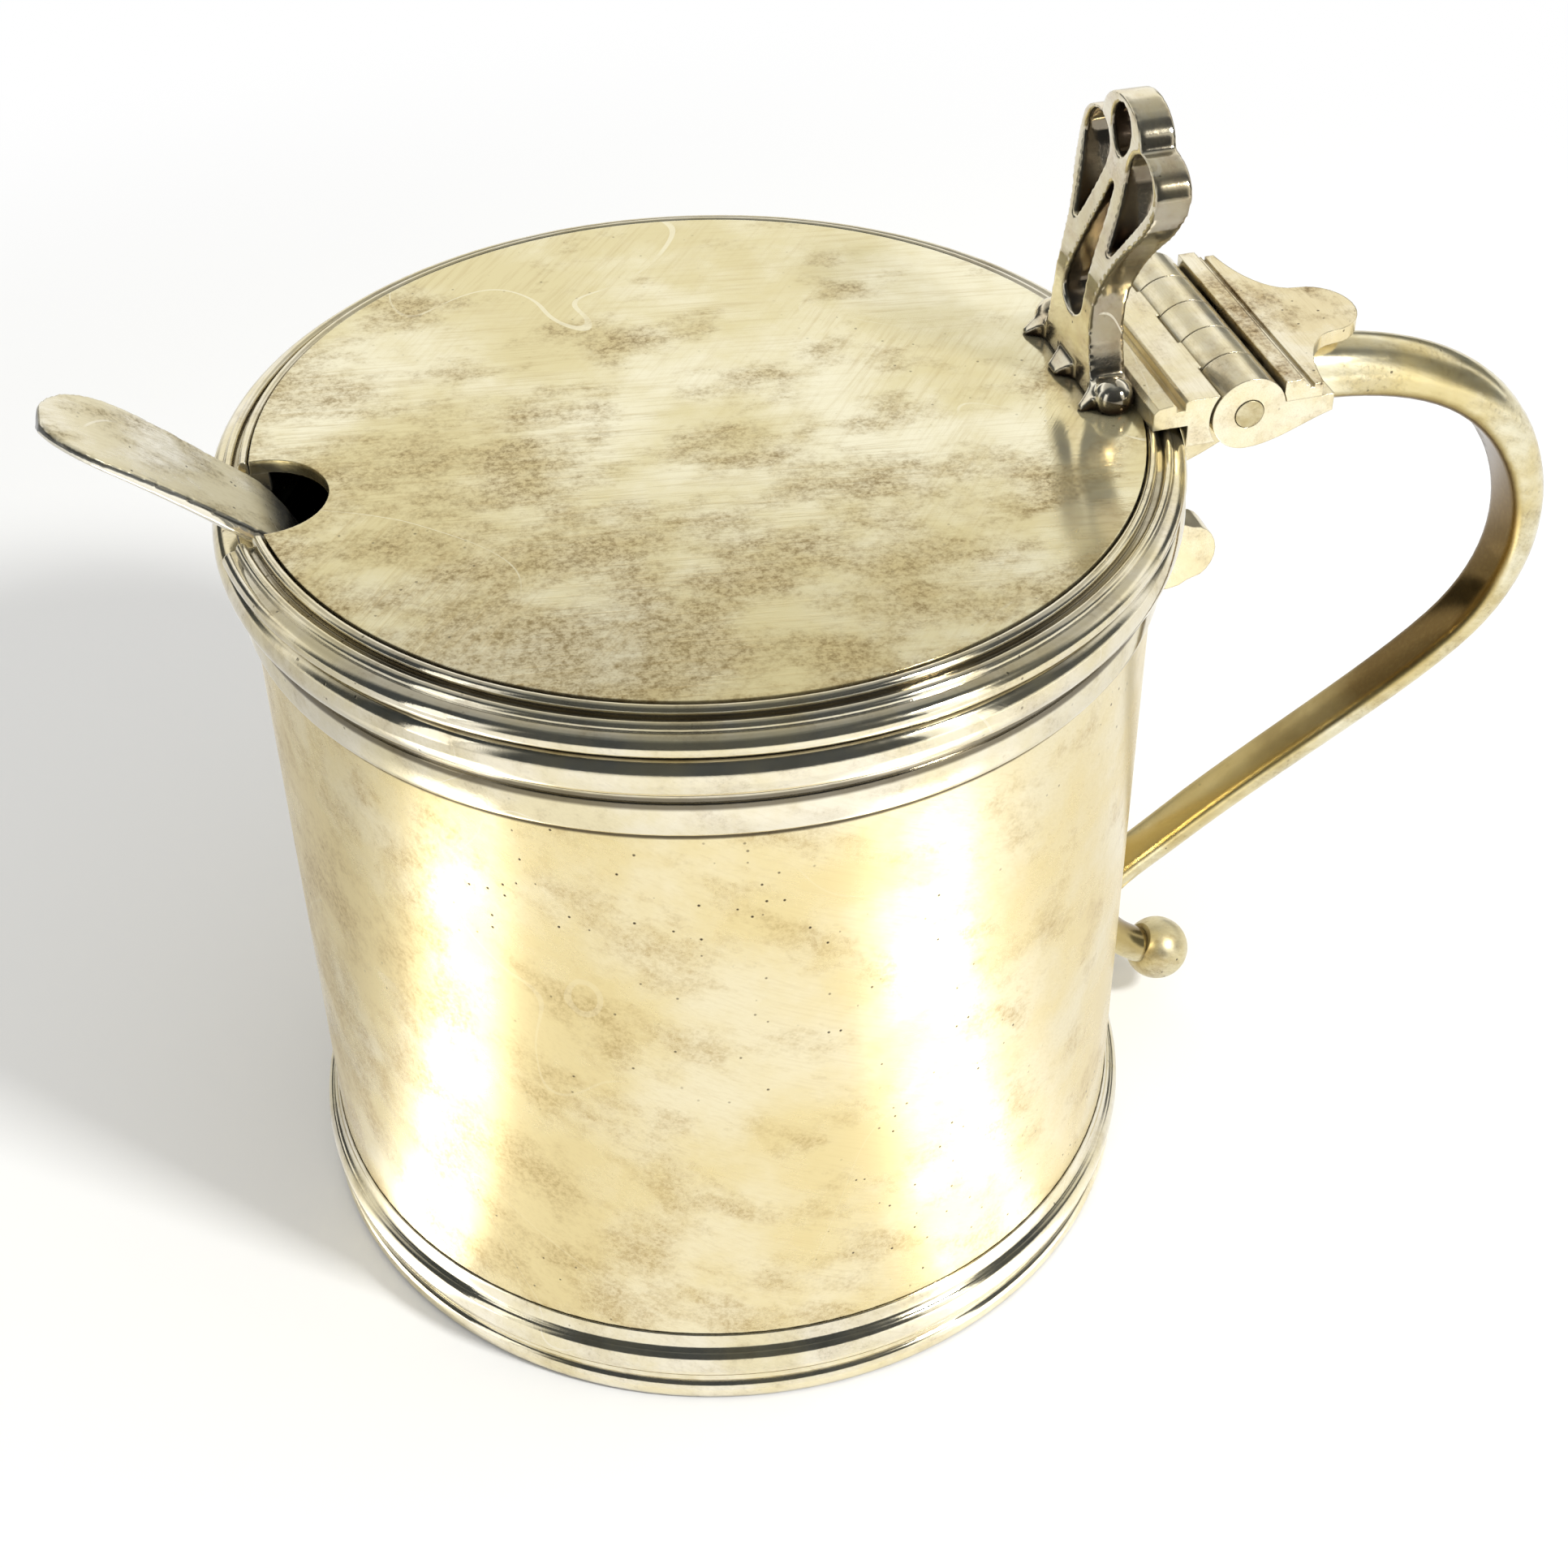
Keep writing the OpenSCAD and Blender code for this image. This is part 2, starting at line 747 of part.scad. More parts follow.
// Piercings: a drop in each side lobe, a long drop in the stem and an eye in the middle lobe
module thumb_piercings() {
    lobe_r = 2.4 - thumb_rib / 2;
    slot_r = 2.05 - thumb_rib / 2;
    eye_r = 1.95 - thumb_rib / 2;
    point_r = 0.3;
    for (side = [-1, 1])
        pierce(drop(on_face(side * 0.46, 0.525), point_r, on_face(side * 0.556, 0.762), lobe_r, 10));
    pierce(drop(on_face(0, 0.68), point_r, on_face(0, 0.315), slot_r, 10));
    pierce(drop(on_face(0, 0.84), eye_r * 0.6, on_face(0, 0.89), eye_r, 10));
}

// Foot of the thumbpiece: a low bar with three claws in front and a round toe at each end
module thumb_foot() {
    foot_w = thumb_w * 0.86;
    foot_up = 1.5;
    claw_l = 1.1;
    claw_up = 0.3;
    toe_r = 1.3;
    toe_up = 0.8;
    scallop_r = foot_w * 0.2;
    back = thumb_x + thumb_t;
    difference() {
        union() {
            bar_y([
                [thumb_x - claw_l, lid_top],
                [thumb_x - claw_l, lid_top + claw_up],
                [thumb_x + claw_up, lid_top + foot_up],
                [back, lid_top + foot_up],
                [back, lid_top]
            ], foot_w);
            for (side = [-1, 1])
                translate([back - toe_r, side * foot_w / 2, lid_top + toe_up])
                    sphere(r = toe_r);
        }
        for (side = [-1, 1])
            translate([thumb_x - claw_l - scallop_r / 3, side * foot_w / 4, lid_top - past_end])
                cylinder(r = scallop_r, h = foot_up + 2 * past_end);
        translate([thumb_x - thumb_w, -thumb_w, lid_top - 2 * toe_r])
            cube([2 * thumb_w, 2 * thumb_w, 2 * toe_r]);
    }
}

module thumbpiece() {
    color(bright_silver)
        union() {
            difference() {
                thumb_plate();
                thumb_piercings();
            }
            thumb_foot();
        }
}

// Inside line of the spoon, from the tip of its handle down to the tip of its bowl
bowl_l = 13;
bowl_rise = 13.4;
bowl_sag = 0.42 * bowl_deep;
stem_step = [cos(stem_slope), -sin(stem_slope)];
neck = [bend_x - 0.9, bend_z + 0.7];
stem_top = [bend_x + 1.3, bend_z - 2.3];
bowl_z = liner_floor_z + bowl_rise;
stem_low = stem_top + stem_step * ((stem_top[1] - bowl_z) / sin(stem_slope));
bowl_tip = [stem_low[0] + bowl_l, liner_floor_z + spoon_gap + bowl_sag];
spoon_tip = [neck[0] - spoon_out, body_h + spoon_rise];
spoon_handle = [
    spoon_tip,
    spoon_tip + [3.7, -1.3],
    neck + [-3.6, 3],
    neck
];
spoon_bend = [neck, neck + [0.9, -0.75], stem_top - 1.5 * stem_step, stem_top];
spoon_bowl = [stem_low, stem_low + 6 * stem_step, bowl_tip + [-7, 2.2], bowl_tip];
n_handle = 28;
n_bend = 8;
n_stem = 5;
n_bowl = 22;
spoon_path = concat(
    curve(spoon_handle, n_handle),
    but_first(curve(spoon_bend, n_bend)),
    [for (i = [1 : n_stem]) mix(stem_top, stem_low, i / n_stem)],
    but_first(curve(spoon_bowl, n_bowl))
);

// Share of the handle, bend, stem or bowl that point i of the spoon lies at
function handle_share(i) = i / n_handle;
function bend_share(i) = (i - n_handle) / n_bend;
function stem_share(i) = (i - n_handle - n_bend) / n_stem;
function bowl_share(i) = (i - n_handle - n_bend - n_stem) / n_bowl;

// Oval that the bowl fills, 1 at its middle and 0 at its ends
function bowl_oval(s) = 1 - pow((s - 0.54) / 0.465, 2);

function spoon_half(i) =
    i <= n_handle
        ? let (s = handle_share(i), e = min(1, (s + 0.014) / 0.36))
            mix(spoon_w / 2, spoon_neck_w / 2, ease((s - 0.4) / 0.6)) * sqrt(1 - pow(1 - e, 2))
        : i <= n_handle + n_bend
            ? mix(spoon_neck_w / 2, spoon_neck_w / 2 - 0.5, bend_share(i))
            : i <= n_handle + n_bend + n_stem
                ? mix(spoon_neck_w / 2 - 0.5, stem_w / 2, stem_share(i))
                : max(
                    mix(stem_w / 2, 0.6, bowl_share(i)),
                    bowl_w / 2 * sqrt(max(0, bowl_oval(bowl_share(i))))
                );

function spoon_thick(i) =
    i <= n_handle
        ? mix(spoon_edge_t, stem_t, handle_share(i))
        : i <= n_handle + n_bend + n_stem
            ? stem_t
            : mix(stem_t, spoon_edge_t, min(1, 3 * bowl_share(i)));

function spoon_dish(i) =
    i <= n_handle + n_bend + n_stem ? 0 : bowl_deep * max(0, bowl_oval(bowl_share(i)));

// Section of the spoon: a flat strip, or a dished one in the bowl
function spoon_outline(i) =
    let (
        m = 6,
        w = spoon_half(i),
        t = spoon_thick(i),
        d = spoon_dish(i),
        us = [for (j = [-m : m]) j / m],
        low = [for (u = us) [u * w, -d * (1 - u * u) - t * (0.3 + 0.7 * sqrt(1 - u * u * 0.95))]],
        top = [for (k = [2 * m : -1 : 0]) let (u = us[k]) [u * w, -d * (1 - u * u)]]
    )
    concat(low, top);

module spoon() {
    color(dull_silver)
        loft([for (i = [0 : len(spoon_path) - 1]) ring(spoon_path, i, spoon_outline(i))]);
}

body_wall();
base_plate();
foot_rim();
body_rim();
glass_liner();
hinge_bracket();
shield_plate();
pot_knuckle_near();
pot_knuckle_mid();
pot_knuckle_far();
hinge_pin();
handle();
handle_ball();
handle_leaf();
lid_plate();
lid_rim();
lid_leaf();
lid_knuckle_near();
lid_knuckle_far();
thumbpiece();
spoon();
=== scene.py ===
"""Looks of a silver mustard pot with a hinged lid, a scroll handle, a spoon and a glass liner.

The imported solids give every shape. This script dresses them in the metal and glass that the real
pieces are made of, and sets them on a pale floor under plain studio light.
"""

import logging
import math
from dataclasses import dataclass, field, replace
from enum import Enum
from typing import Any

import bmesh
import bpy
from mathutils import Matrix, Vector


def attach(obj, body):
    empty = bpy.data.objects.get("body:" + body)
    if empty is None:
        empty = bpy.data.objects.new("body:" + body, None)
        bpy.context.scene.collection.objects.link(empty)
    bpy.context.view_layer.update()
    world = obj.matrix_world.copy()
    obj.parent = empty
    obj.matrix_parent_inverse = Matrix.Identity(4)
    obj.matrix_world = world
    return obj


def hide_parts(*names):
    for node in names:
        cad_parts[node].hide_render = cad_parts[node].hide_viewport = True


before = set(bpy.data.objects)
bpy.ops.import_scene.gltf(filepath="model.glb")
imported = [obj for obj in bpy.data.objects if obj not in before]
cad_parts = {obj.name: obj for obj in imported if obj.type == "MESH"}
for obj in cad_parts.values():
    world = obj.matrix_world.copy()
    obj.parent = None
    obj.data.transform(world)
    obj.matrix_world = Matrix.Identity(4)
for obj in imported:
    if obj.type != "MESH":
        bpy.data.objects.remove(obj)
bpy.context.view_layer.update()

LOG = logging.getLogger("mustard_pot")
MM = 0.001
WHITE = "#ffffff"
WELD_MM = 0.002  # distance within which a solid's points are joined

Socket = bpy.types.NodeSocket
Stops = tuple[tuple[float, str | float], ...]


def linear(hex_colour: str) -> tuple[float, float, float, float]:
    """Turn an sRGB hex colour into the linear colour that shaders take.

    Args:
        hex_colour: Colour as "#rrggbb".

    Returns:
        Linear red, green and blue, with an alpha of 1.
    """
    values = [int(hex_colour[i:i + 2], 16) / 255 for i in (1, 3, 5)]
    r, g, b = (v / 12.92 if v <= 0.04045 else ((v + 0.055) / 1.055) ** 2.4 for v in values)
    return r, g, b, 1.0


def per_mm(size_mm: float) -> float:
    """Scale at which a pattern in metres repeats about every size_mm millimetres."""
    return 1.0 / (size_mm * MM)


def add(
    tree: bpy.types.NodeTree,
    kind: str,
    inputs: dict[str | int, Any] | None = None,
    stops: Stops = (),
    **settings: Any,
) -> bpy.types.Node:
    """Add a node with its settings and links.

    Args:
        tree: Node tree that takes the node.
        kind: Type name of the node.
        inputs: Value or output socket for each input, by its name or its place.
        stops: Place and tone of each stop of a colour ramp, the tone as a hex colour or a grey level.
        **settings: Properties of the node.

    Returns:
        The new node.
    """
    node = tree.nodes.new(kind)
    for name, value in settings.items():
        setattr(node, name, value)
    for key, value in (inputs or {}).items():
        if isinstance(value, Socket):
            tree.links.new(value, node.inputs[key])
        else:
            node.inputs[key].default_value = value
    if stops:
        node.color_ramp.interpolation = "EASE"
        marks = node.color_ramp.elements
        while len(marks) < len(stops):
            marks.new(0.5)
        for i, (where, tone) in enumerate(stops):
            marks[i].position = where
            marks[i].color = linear(tone) if isinstance(tone, str) else (tone, tone, tone, 1.0)
    return node


def new_material(name: str) -> tuple[bpy.types.Material, bpy.types.NodeTree]:
    """Make an empty node material.

    Args:
        name: Name of the material.

    Returns:
        The material and its node tree.
    """
    material = bpy.data.materials.new(name)
    material.use_nodes = True
    material.node_tree.nodes.clear()
    return material, material.node_tree


# Noise levels, from 0 to 1, between which a mark comes in. They are the same for every piece of silver.
FILM_SPREAD, FILM_EDGE = 0.25, 0.15
SMEAR_LEVELS = (0.44, 0.68)
GRAIN_LEVELS = (0.46, 0.64)
STROKE_LEVELS = (0.48, 0.74)
HATCH_LEVELS = (0.46, 0.58)
SCRATCH_LEVEL, SCRATCH_HALF_WIDTH = 0.55, 0.0018
SCRATCH_PLACES = (0.5, 0.56)
PIT_PLACES = (0.48, 0.6)
# Pits: their spacing, the radii in shares of it between which one ends, and the share of places without.
PIT_MM, PIT_RADII, PIT_EMPTY = 0.9, (0.07, 0.13), 0.5
# Size of the slow noise that places hatching, scratches and pits.
SLOW_MM = 21.0
# How much grains and marks dull the shine, how high grains stand beside marks, and the height of both.
GRAIN_DULLS, STROKE_DULLS, GRAIN_HEIGHT, RELIEF_MM, RELIEF_SHARE = 0.15, 0.12, 0.2, 0.03, 0.3
# How far a face has to look sideways to take a painted dark reflection, or up to be toned, from 0 to 1.
SIDEWAYS, UPWARD = (0.4, 0.9), (0.1, 0.5)
# Where the painted dark reflection along an upper edge lies, by how far the face looks up.
EDGE_STOPS = ((0.0, 0.0), (0.12, 0.9), (0.5, 0.9), (0.8, 0.0))
# Shade inside a loop: its unevenness, its loss low down, where tan and brown begin, their width and share.
SHADE_UNEVEN, SHADE_LOSS, SHADE_STARTS, SHADE_WIDTH, SHADE_FULL = 0.9, 0.45, (0.2, 0.55), 0.65, 0.9


class Strokes(Enum):
    """Direction in which a cloth or a file left its fine marks, as turns about X, Y and Z in degrees."""

    SLANTED_DOWNWARD = (0.0, 28.0, 0.0)
    ACROSS_THE_LID = (0.0, 0.0, -9.0)
    SLANTED_ON_THE_LID = (0.0, 0.0, 52.0)
    ALONG_THE_FITTING = (0.0, 0.0, 90.0)


@dataclass(frozen=True)
class SilverFinish:
    """Sterling silver that was polished long ago and has grown a thin sulphide film since.

    Attributes:
        name: Name of the material, after the metal and how the piece was made.
        bright: Colour where the film is thinnest.
        film: Colour of the cream film.
        tan: Colour of the smears where the film is thicker, and of the lighter painted shade.
        brown: Colour of the fine grains inside the smears, and of the darker painted shade and the painted
            side reflection.
        soil_and_shade: Colour of what polish and cloth leave in corners, and of the painted shade in deep
            hollows.
        rough: Roughness from the brightest to the dullest place.
        film_share: Share of the surface that the film covers, from 0 to 1.
        veil: How much of the metal the film hides where it is thickest, from 0 to 1.
        tan_share: How much the smears show, from 0 to 1.
        brown_share: How much the grains show, from 0 to 1.
        cloud_mm: Size of the film's patches.
        smear_mm: Length and width of the smears.
        grain_mm: Size of the grains.
        grain_cover: Noise levels between which a grain comes in: lower ones leave fewer gaps.
        stroke_mm: Length and width of the fine marks.
        stroke_share: How much the fine marks show, from 0 to 1.
        strokes: Direction of the smears and marks.
        hatch: Direction of a second set of marks that crosses the first in places, if there is one.
        lean: How much the smears gain per metre along X, Y and Z.
        scratch_share: How much the hairline scratches show, from 0 to 1.
        pit_share: How much the small dark pits show, from 0 to 1.
        edge_mm: Radius to which wear has rounded the edges.
        soil_and_shade_mm: Width of the dark line along a corner, which stands for dirt and, in deep hollows,
            painted shade.
        soil_and_shade_share: How much the dirt and painted shade show, from 0 to 1.
        soil_and_shade_open: How open a place is where the dirt and painted shade are full, and where they
            end, from 0 to 1.
        dark_lines_mm: Height and half width of darker lines round the pot, where a moulding ends.
        shade_centre_mm: Point that the faces with painted shade look at, which are also never rubbed, if
            there are any.
        shade_rise_mm: Heights between which those faces turn from tan to brown.
        painted_side_reflection: How strongly the faces that look along the hinge are painted with a dark
            reflection, from 0 to 1.
        painted_edge_reflection: Colour of the painted dark reflection along upper edges, if there is one.
        bright_below: Whether only faces that look up have dulled.
    """

    name: str
    bright: str = "#f7ecd0"
    film: str = "#efdcaa"
    tan: str = "#cfb683"
    brown: str = "#86703f"
    soil_and_shade: str = "#2a1f12"
    rough: tuple[float, float] = (0.2, 0.32)
    film_share: float = 0.6
    veil: float = 0.3
    tan_share: float = 0.6
    brown_share: float = 0.5
    cloud_mm: float = 14.0
    smear_mm: tuple[float, float] = (14.0, 5.0)
    grain_mm: float = 0.42
    grain_cover: tuple[float, float] = (0.5, 0.7)
    stroke_mm: tuple[float, float] = (6.0, 0.22)
    stroke_share: float = 0.3
    strokes: Strokes = Strokes.SLANTED_DOWNWARD
    hatch: Strokes | None = None
    lean: tuple[float, float, float] = (0.0, 0.0, 0.0)
    scratch_share: float = 0.5
    pit_share: float = 0.8
    edge_mm: float = 0.12
    soil_and_shade_mm: float = 0.6
    soil_and_shade_share: float = 0.9
    soil_and_shade_open: tuple[float, float] = (0.25, 0.85)
    dark_lines_mm: tuple[tuple[float, float], ...] = ()
    shade_centre_mm: tuple[float, float, float] | None = None
    shade_rise_mm: tuple[float, float] = (20.0, 40.0)
    painted_side_reflection: float = 0.0
    painted_edge_reflection: str | None = None
    bright_below: bool = False

    def tarnish(
        self, tree: bpy.types.NodeTree, place: Socket, cloud: Socket,
    ) -> tuple[Socket, Socket, Socket]:
        """Lay the film, its smears and their grains.

        Args:
            tree: Node tree of the material.
            place: Socket with the place on the piece in metres.
            cloud: Socket with the film's patches.

        Returns:
            Masks of the film, the smears and the grains.
        """
        # The film lies in soft clouds, ragged where a cloth has reached it.
        middle = 0.5 + FILM_SPREAD * (0.5 - self.film_share)
        film = add(tree, "ShaderNodeMapRange", {
            "Value": cloud, "From Min": middle - FILM_EDGE, "From Max": middle + FILM_EDGE,
        }, interpolation_type="SMOOTHSTEP").outputs[0]

        # Smears of thicker film, drawn out the way the cloth went.
        turn = tuple(math.radians(a) for a in self.strokes.value)
        long, wide = (v * MM for v in self.smear_mm)
        drawn = add(tree, "ShaderNodeMapping", {
            "Vector": place, "Rotation": turn, "Scale": (long, wide, wide),
        }, vector_type="TEXTURE").outputs[0]
        wash = add(tree, "ShaderNodeTexNoise", {
            "Vector": drawn, "Scale": 1.0, "Detail": 7.0, "Roughness": 0.66,
        }).outputs[0]
        leaning = add(tree, "ShaderNodeVectorMath", {
            0: place, 1: self.lean,
        }, operation="DOT_PRODUCT").outputs[1]
        wash = add(tree, "ShaderNodeMath", {0: wash, 1: leaning}, operation="ADD").outputs[0]
        smear = add(tree, "ShaderNodeMapRange", {
            "Value": wash, "From Min": SMEAR_LEVELS[0], "From Max": SMEAR_LEVELS[1], "To Max": self.tan_share,
        }, interpolation_type="SMOOTHSTEP").outputs[0]

        # Brown grains inside the smears, like fine sand under the shine.
        sand = add(tree, "ShaderNodeTexNoise", {
            "Vector": place, "Scale": per_mm(self.grain_mm), "Detail": 4.0, "Roughness": 0.75,
        }).outputs[0]
        sand = add(tree, "ShaderNodeMapRange", {
            "Value": sand, "From Min": self.grain_cover[0], "From Max": self.grain_cover[1],
        }).outputs[0]
        reach = add(tree, "ShaderNodeMapRange", {
            "Value": wash, "From Min": GRAIN_LEVELS[0], "From Max": GRAIN_LEVELS[1],
            "To Max": self.brown_share,
        }).outputs[0]
        grain = add(tree, "ShaderNodeMath", {0: sand, 1: reach}, operation="MULTIPLY").outputs[0]
        return film, smear, grain

    def wear(
        self, tree: bpy.types.NodeTree, place: Socket, cloud: Socket, slow: Socket,
    ) -> tuple[Socket, Socket]:
        """Lay the fine marks of the cloth and a few hairline scratches.

        Args:
            tree: Node tree of the material.
            place: Socket with the place on the piece in metres.
            cloud: Socket with the film's patches.
            slow: Socket with a slow noise.

        Returns:
            Masks of the marks and of the scratches.
        """
        # Real marks are hundredths of a millimetre wide: these are drawn coarser so that they show.
        long, wide = (v * MM for v in self.stroke_mm)
        marks = []
        for direction in (self.strokes, self.hatch):
            if direction:
                turn = tuple(math.radians(a) for a in direction.value)
                combed = add(tree, "ShaderNodeMapping", {
                    "Vector": place, "Rotation": turn, "Scale": (long, wide, wide),
                }, vector_type="TEXTURE").outputs[0]
                mark = add(tree, "ShaderNodeTexNoise", {
                    "Vector": combed, "Scale": 1.0, "Detail": 3.0, "Roughness": 0.6,
                }).outputs[0]
                marks.append(add(tree, "ShaderNodeMapRange", {
                    "Value": mark, "From Min": STROKE_LEVELS[0], "From Max": STROKE_LEVELS[1],
                    "To Max": self.stroke_share,
                }).outputs[0])
        stroke = marks[0]
        if self.hatch:
            patch = add(tree, "ShaderNodeMapRange", {
                "Value": slow, "From Min": HATCH_LEVELS[0], "From Max": HATCH_LEVELS[1],
            }).outputs[0]
            stroke = add(tree, "ShaderNodeMix", {
                "Factor": patch, 2: marks[0], 3: marks[1],
            }, data_type="FLOAT").outputs[0]

        # Scratches: thin level lines of the slow noise, kept only in some places.
        line = add(tree, "ShaderNodeMath", {
            0: slow, 1: SCRATCH_LEVEL, 2: SCRATCH_HALF_WIDTH,
        }, operation="COMPARE").outputs[0]
        some = add(tree, "ShaderNodeMapRange", {
            "Value": cloud, "From Min": SCRATCH_PLACES[0], "From Max": SCRATCH_PLACES[1],
            "To Max": self.scratch_share,
        }).outputs[0]
        scratch = add(tree, "ShaderNodeMath", {0: line, 1: some}, operation="MULTIPLY").outputs[0]
        return stroke, scratch

    def pits(self, tree: bpy.types.NodeTree, place: Socket, slow: Socket) -> Socket:
        """Lay small dark dots in loose clusters, just under a millimetre apart.

        Args:
            tree: Node tree of the material.
            place: Socket with the place on the piece in metres.
            slow: Socket with a slow noise, which places the clusters.

        Returns:
            Mask of the pits.
        """
        cells = add(tree, "ShaderNodeTexVoronoi", {"Vector": place, "Scale": per_mm(PIT_MM)}).outputs
        dot = add(tree, "ShaderNodeMapRange", {
            "Value": cells["Distance"], "From Min": PIT_RADII[0], "From Max": PIT_RADII[1],
            "To Min": 1.0, "To Max": 0.0,
        }).outputs[0]
        lot = add(tree, "ShaderNodeSeparateColor", {0: cells["Color"]}).outputs[0]
        lot = add(tree, "ShaderNodeMath", {0: lot, 1: PIT_EMPTY}, operation="GREATER_THAN").outputs[0]
        cluster = add(tree, "ShaderNodeMapRange", {
            "Value": slow, "From Min": PIT_PLACES[0], "From Max": PIT_PLACES[1], "To Max": self.pit_share,
        }).outputs[0]
        pit = add(tree, "ShaderNodeMath", {0: dot, 1: lot}, operation="MULTIPLY").outputs[0]
        return add(tree, "ShaderNodeMath", {0: pit, 1: cluster}, operation="MULTIPLY").outputs[0]

    def lay_soil_and_shade(self, tree: bpy.types.NodeTree, place: Socket) -> Socket:
        """Lay dark lines where two faces meet in a corner, which stand for dirt and, in deep hollows, painted
        shade, and darker lines where a moulding ends.

        Args:
            tree: Node tree of the material.
            place: Socket with the place on the piece in metres.

        Returns:
            Mask of the dirt, the painted shade and the darker lines.
        """
        # Ambient occlusion darkens corners: dirt on most pieces, and painted shade where it reaches wide into
        # deep hollows.
        hollow = add(tree, "ShaderNodeAmbientOcclusion", {
            "Distance": self.soil_and_shade_mm * MM,
        }, samples=8).outputs["AO"]
        soil_and_shade = add(tree, "ShaderNodeMapRange", {
            "Value": hollow, "From Min": self.soil_and_shade_open[0], "From Max": self.soil_and_shade_open[1],
            "To Min": self.soil_and_shade_share, "To Max": 0.0,
        }).outputs[0]
        height = add(tree, "ShaderNodeSeparateXYZ", {0: place}).outputs["Z"]
        # Darker bands at the given heights, where a moulding ends.
        for line_mm, half_mm in self.dark_lines_mm:
            off = add(tree, "ShaderNodeMath", {0: height, 1: line_mm * MM}, operation="SUBTRACT").outputs[0]
            off = add(tree, "ShaderNodeMath", {0: off}, operation="ABSOLUTE").outputs[0]
            line = add(tree, "ShaderNodeMapRange", {
                "Value": off, "From Min": half_mm * MM / 2, "From Max": half_mm * MM,
                "To Min": self.soil_and_shade_share, "To Max": 0.0,
            }, interpolation_type="SMOOTHSTEP").outputs[0]
            soil_and_shade = add(tree, "ShaderNodeMath", {0: soil_and_shade, 1: line}, operation="MAXIMUM").outputs[0]
        return soil_and_shade

    def shades(
        self, tree: bpy.types.NodeTree, place: Socket, cloud: Socket,
    ) -> list[tuple[Socket, str]]:
        """Paint dark reflections on sides and upper edges, and shade inside a loop, whose faces are also
        never rubbed.

        Args:
            tree: Node tree of the material.
            place: Socket with the place on the piece in metres.
            cloud: Socket with the film's patches, which make the shade uneven.

        Returns:
            Mask and colour of each shade.
        """
        shades: list[tuple[Socket, str]] = []
        normal = add(tree, "ShaderNodeNewGeometry").outputs["Normal"]
        if self.painted_side_reflection:
            # The narrow sides that look along the hinge are painted brown: a painted dark reflection.
            side = add(tree, "ShaderNodeSeparateXYZ", {0: normal}).outputs["Y"]
            side = add(tree, "ShaderNodeMath", {0: side}, operation="ABSOLUTE").outputs[0]
            side = add(tree, "ShaderNodeMapRange", {
                "Value": side, "From Min": SIDEWAYS[0], "From Max": SIDEWAYS[1], "To Max": self.painted_side_reflection,
            }).outputs[0]
            shades.append((side, self.brown))
        if self.painted_edge_reflection:
            # A rounded edge gets a painted dark reflection where it turns from the dull top to the bright
            # underside.
            edge = add(tree, "ShaderNodeSeparateXYZ", {0: normal}).outputs["Z"]
            edge = add(tree, "ShaderNodeValToRGB", {0: edge}, EDGE_STOPS).outputs[0]
            shades.append((edge, self.painted_edge_reflection))
        if self.shade_centre_mm:
            # Faces that look into the loop get painted shade, tan and higher up brown, where the metal is
            # also toned since no finger reaches it.
            inward = add(tree, "ShaderNodeVectorMath", {
                0: tuple(v * MM for v in self.shade_centre_mm), 1: place,
            }, operation="SUBTRACT").outputs[0]
            inward = add(tree, "ShaderNodeVectorMath", {0: inward}, operation="NORMALIZE").outputs[0]
            facing = add(tree, "ShaderNodeVectorMath", {
                0: normal, 1: inward,
            }, operation="DOT_PRODUCT").outputs[1]
            facing = add(tree, "ShaderNodeMath", {
                0: cloud, 1: SHADE_UNEVEN, 2: facing,
            }, operation="MULTIPLY_ADD").outputs[0]
            rise = add(tree, "ShaderNodeSeparateXYZ", {0: place}).outputs["Z"]
            rise = add(tree, "ShaderNodeMapRange", {
                "Value": rise, "From Min": self.shade_rise_mm[0] * MM, "From Max": self.shade_rise_mm[1] * MM,
                "To Min": -SHADE_LOSS, "To Max": 0.0,
            }).outputs[0]
            deep = add(tree, "ShaderNodeMath", {0: facing, 1: rise}, operation="ADD").outputs[0]
            for level, start, paint in zip((facing, deep), SHADE_STARTS, (self.tan, self.brown)):
                shades.append((add(tree, "ShaderNodeMapRange", {
                    "Value": level, "From Min": start, "From Max": start + SHADE_WIDTH, "To Max": SHADE_FULL,
                }, interpolation_type="SMOOTHSTEP").outputs[0], paint))
        return shades

    def make(self) -> bpy.types.Material:
        """Build the material.

        Returns:
            The material, with its patterns in the piece's own millimetres.
        """
        material, tree = new_material(self.name)
        place = add(tree, "ShaderNodeTexCoord").outputs["Object"]
        cloud = add(tree, "ShaderNodeTexNoise", {
            "Vector": place, "Scale": per_mm(self.cloud_mm), "Detail": 6.0, "Roughness": 0.6,
        }).outputs[0]
        slow = add(tree, "ShaderNodeTexNoise", {
            "Vector": place, "Scale": per_mm(SLOW_MM), "Detail": 1.0, "Roughness": 0.4, "Distortion": 0.7,
        }).outputs[0]
        film, smear, grain = self.tarnish(tree, place, cloud)
        stroke, scratch = self.wear(tree, place, cloud, slow)
        if self.bright_below:
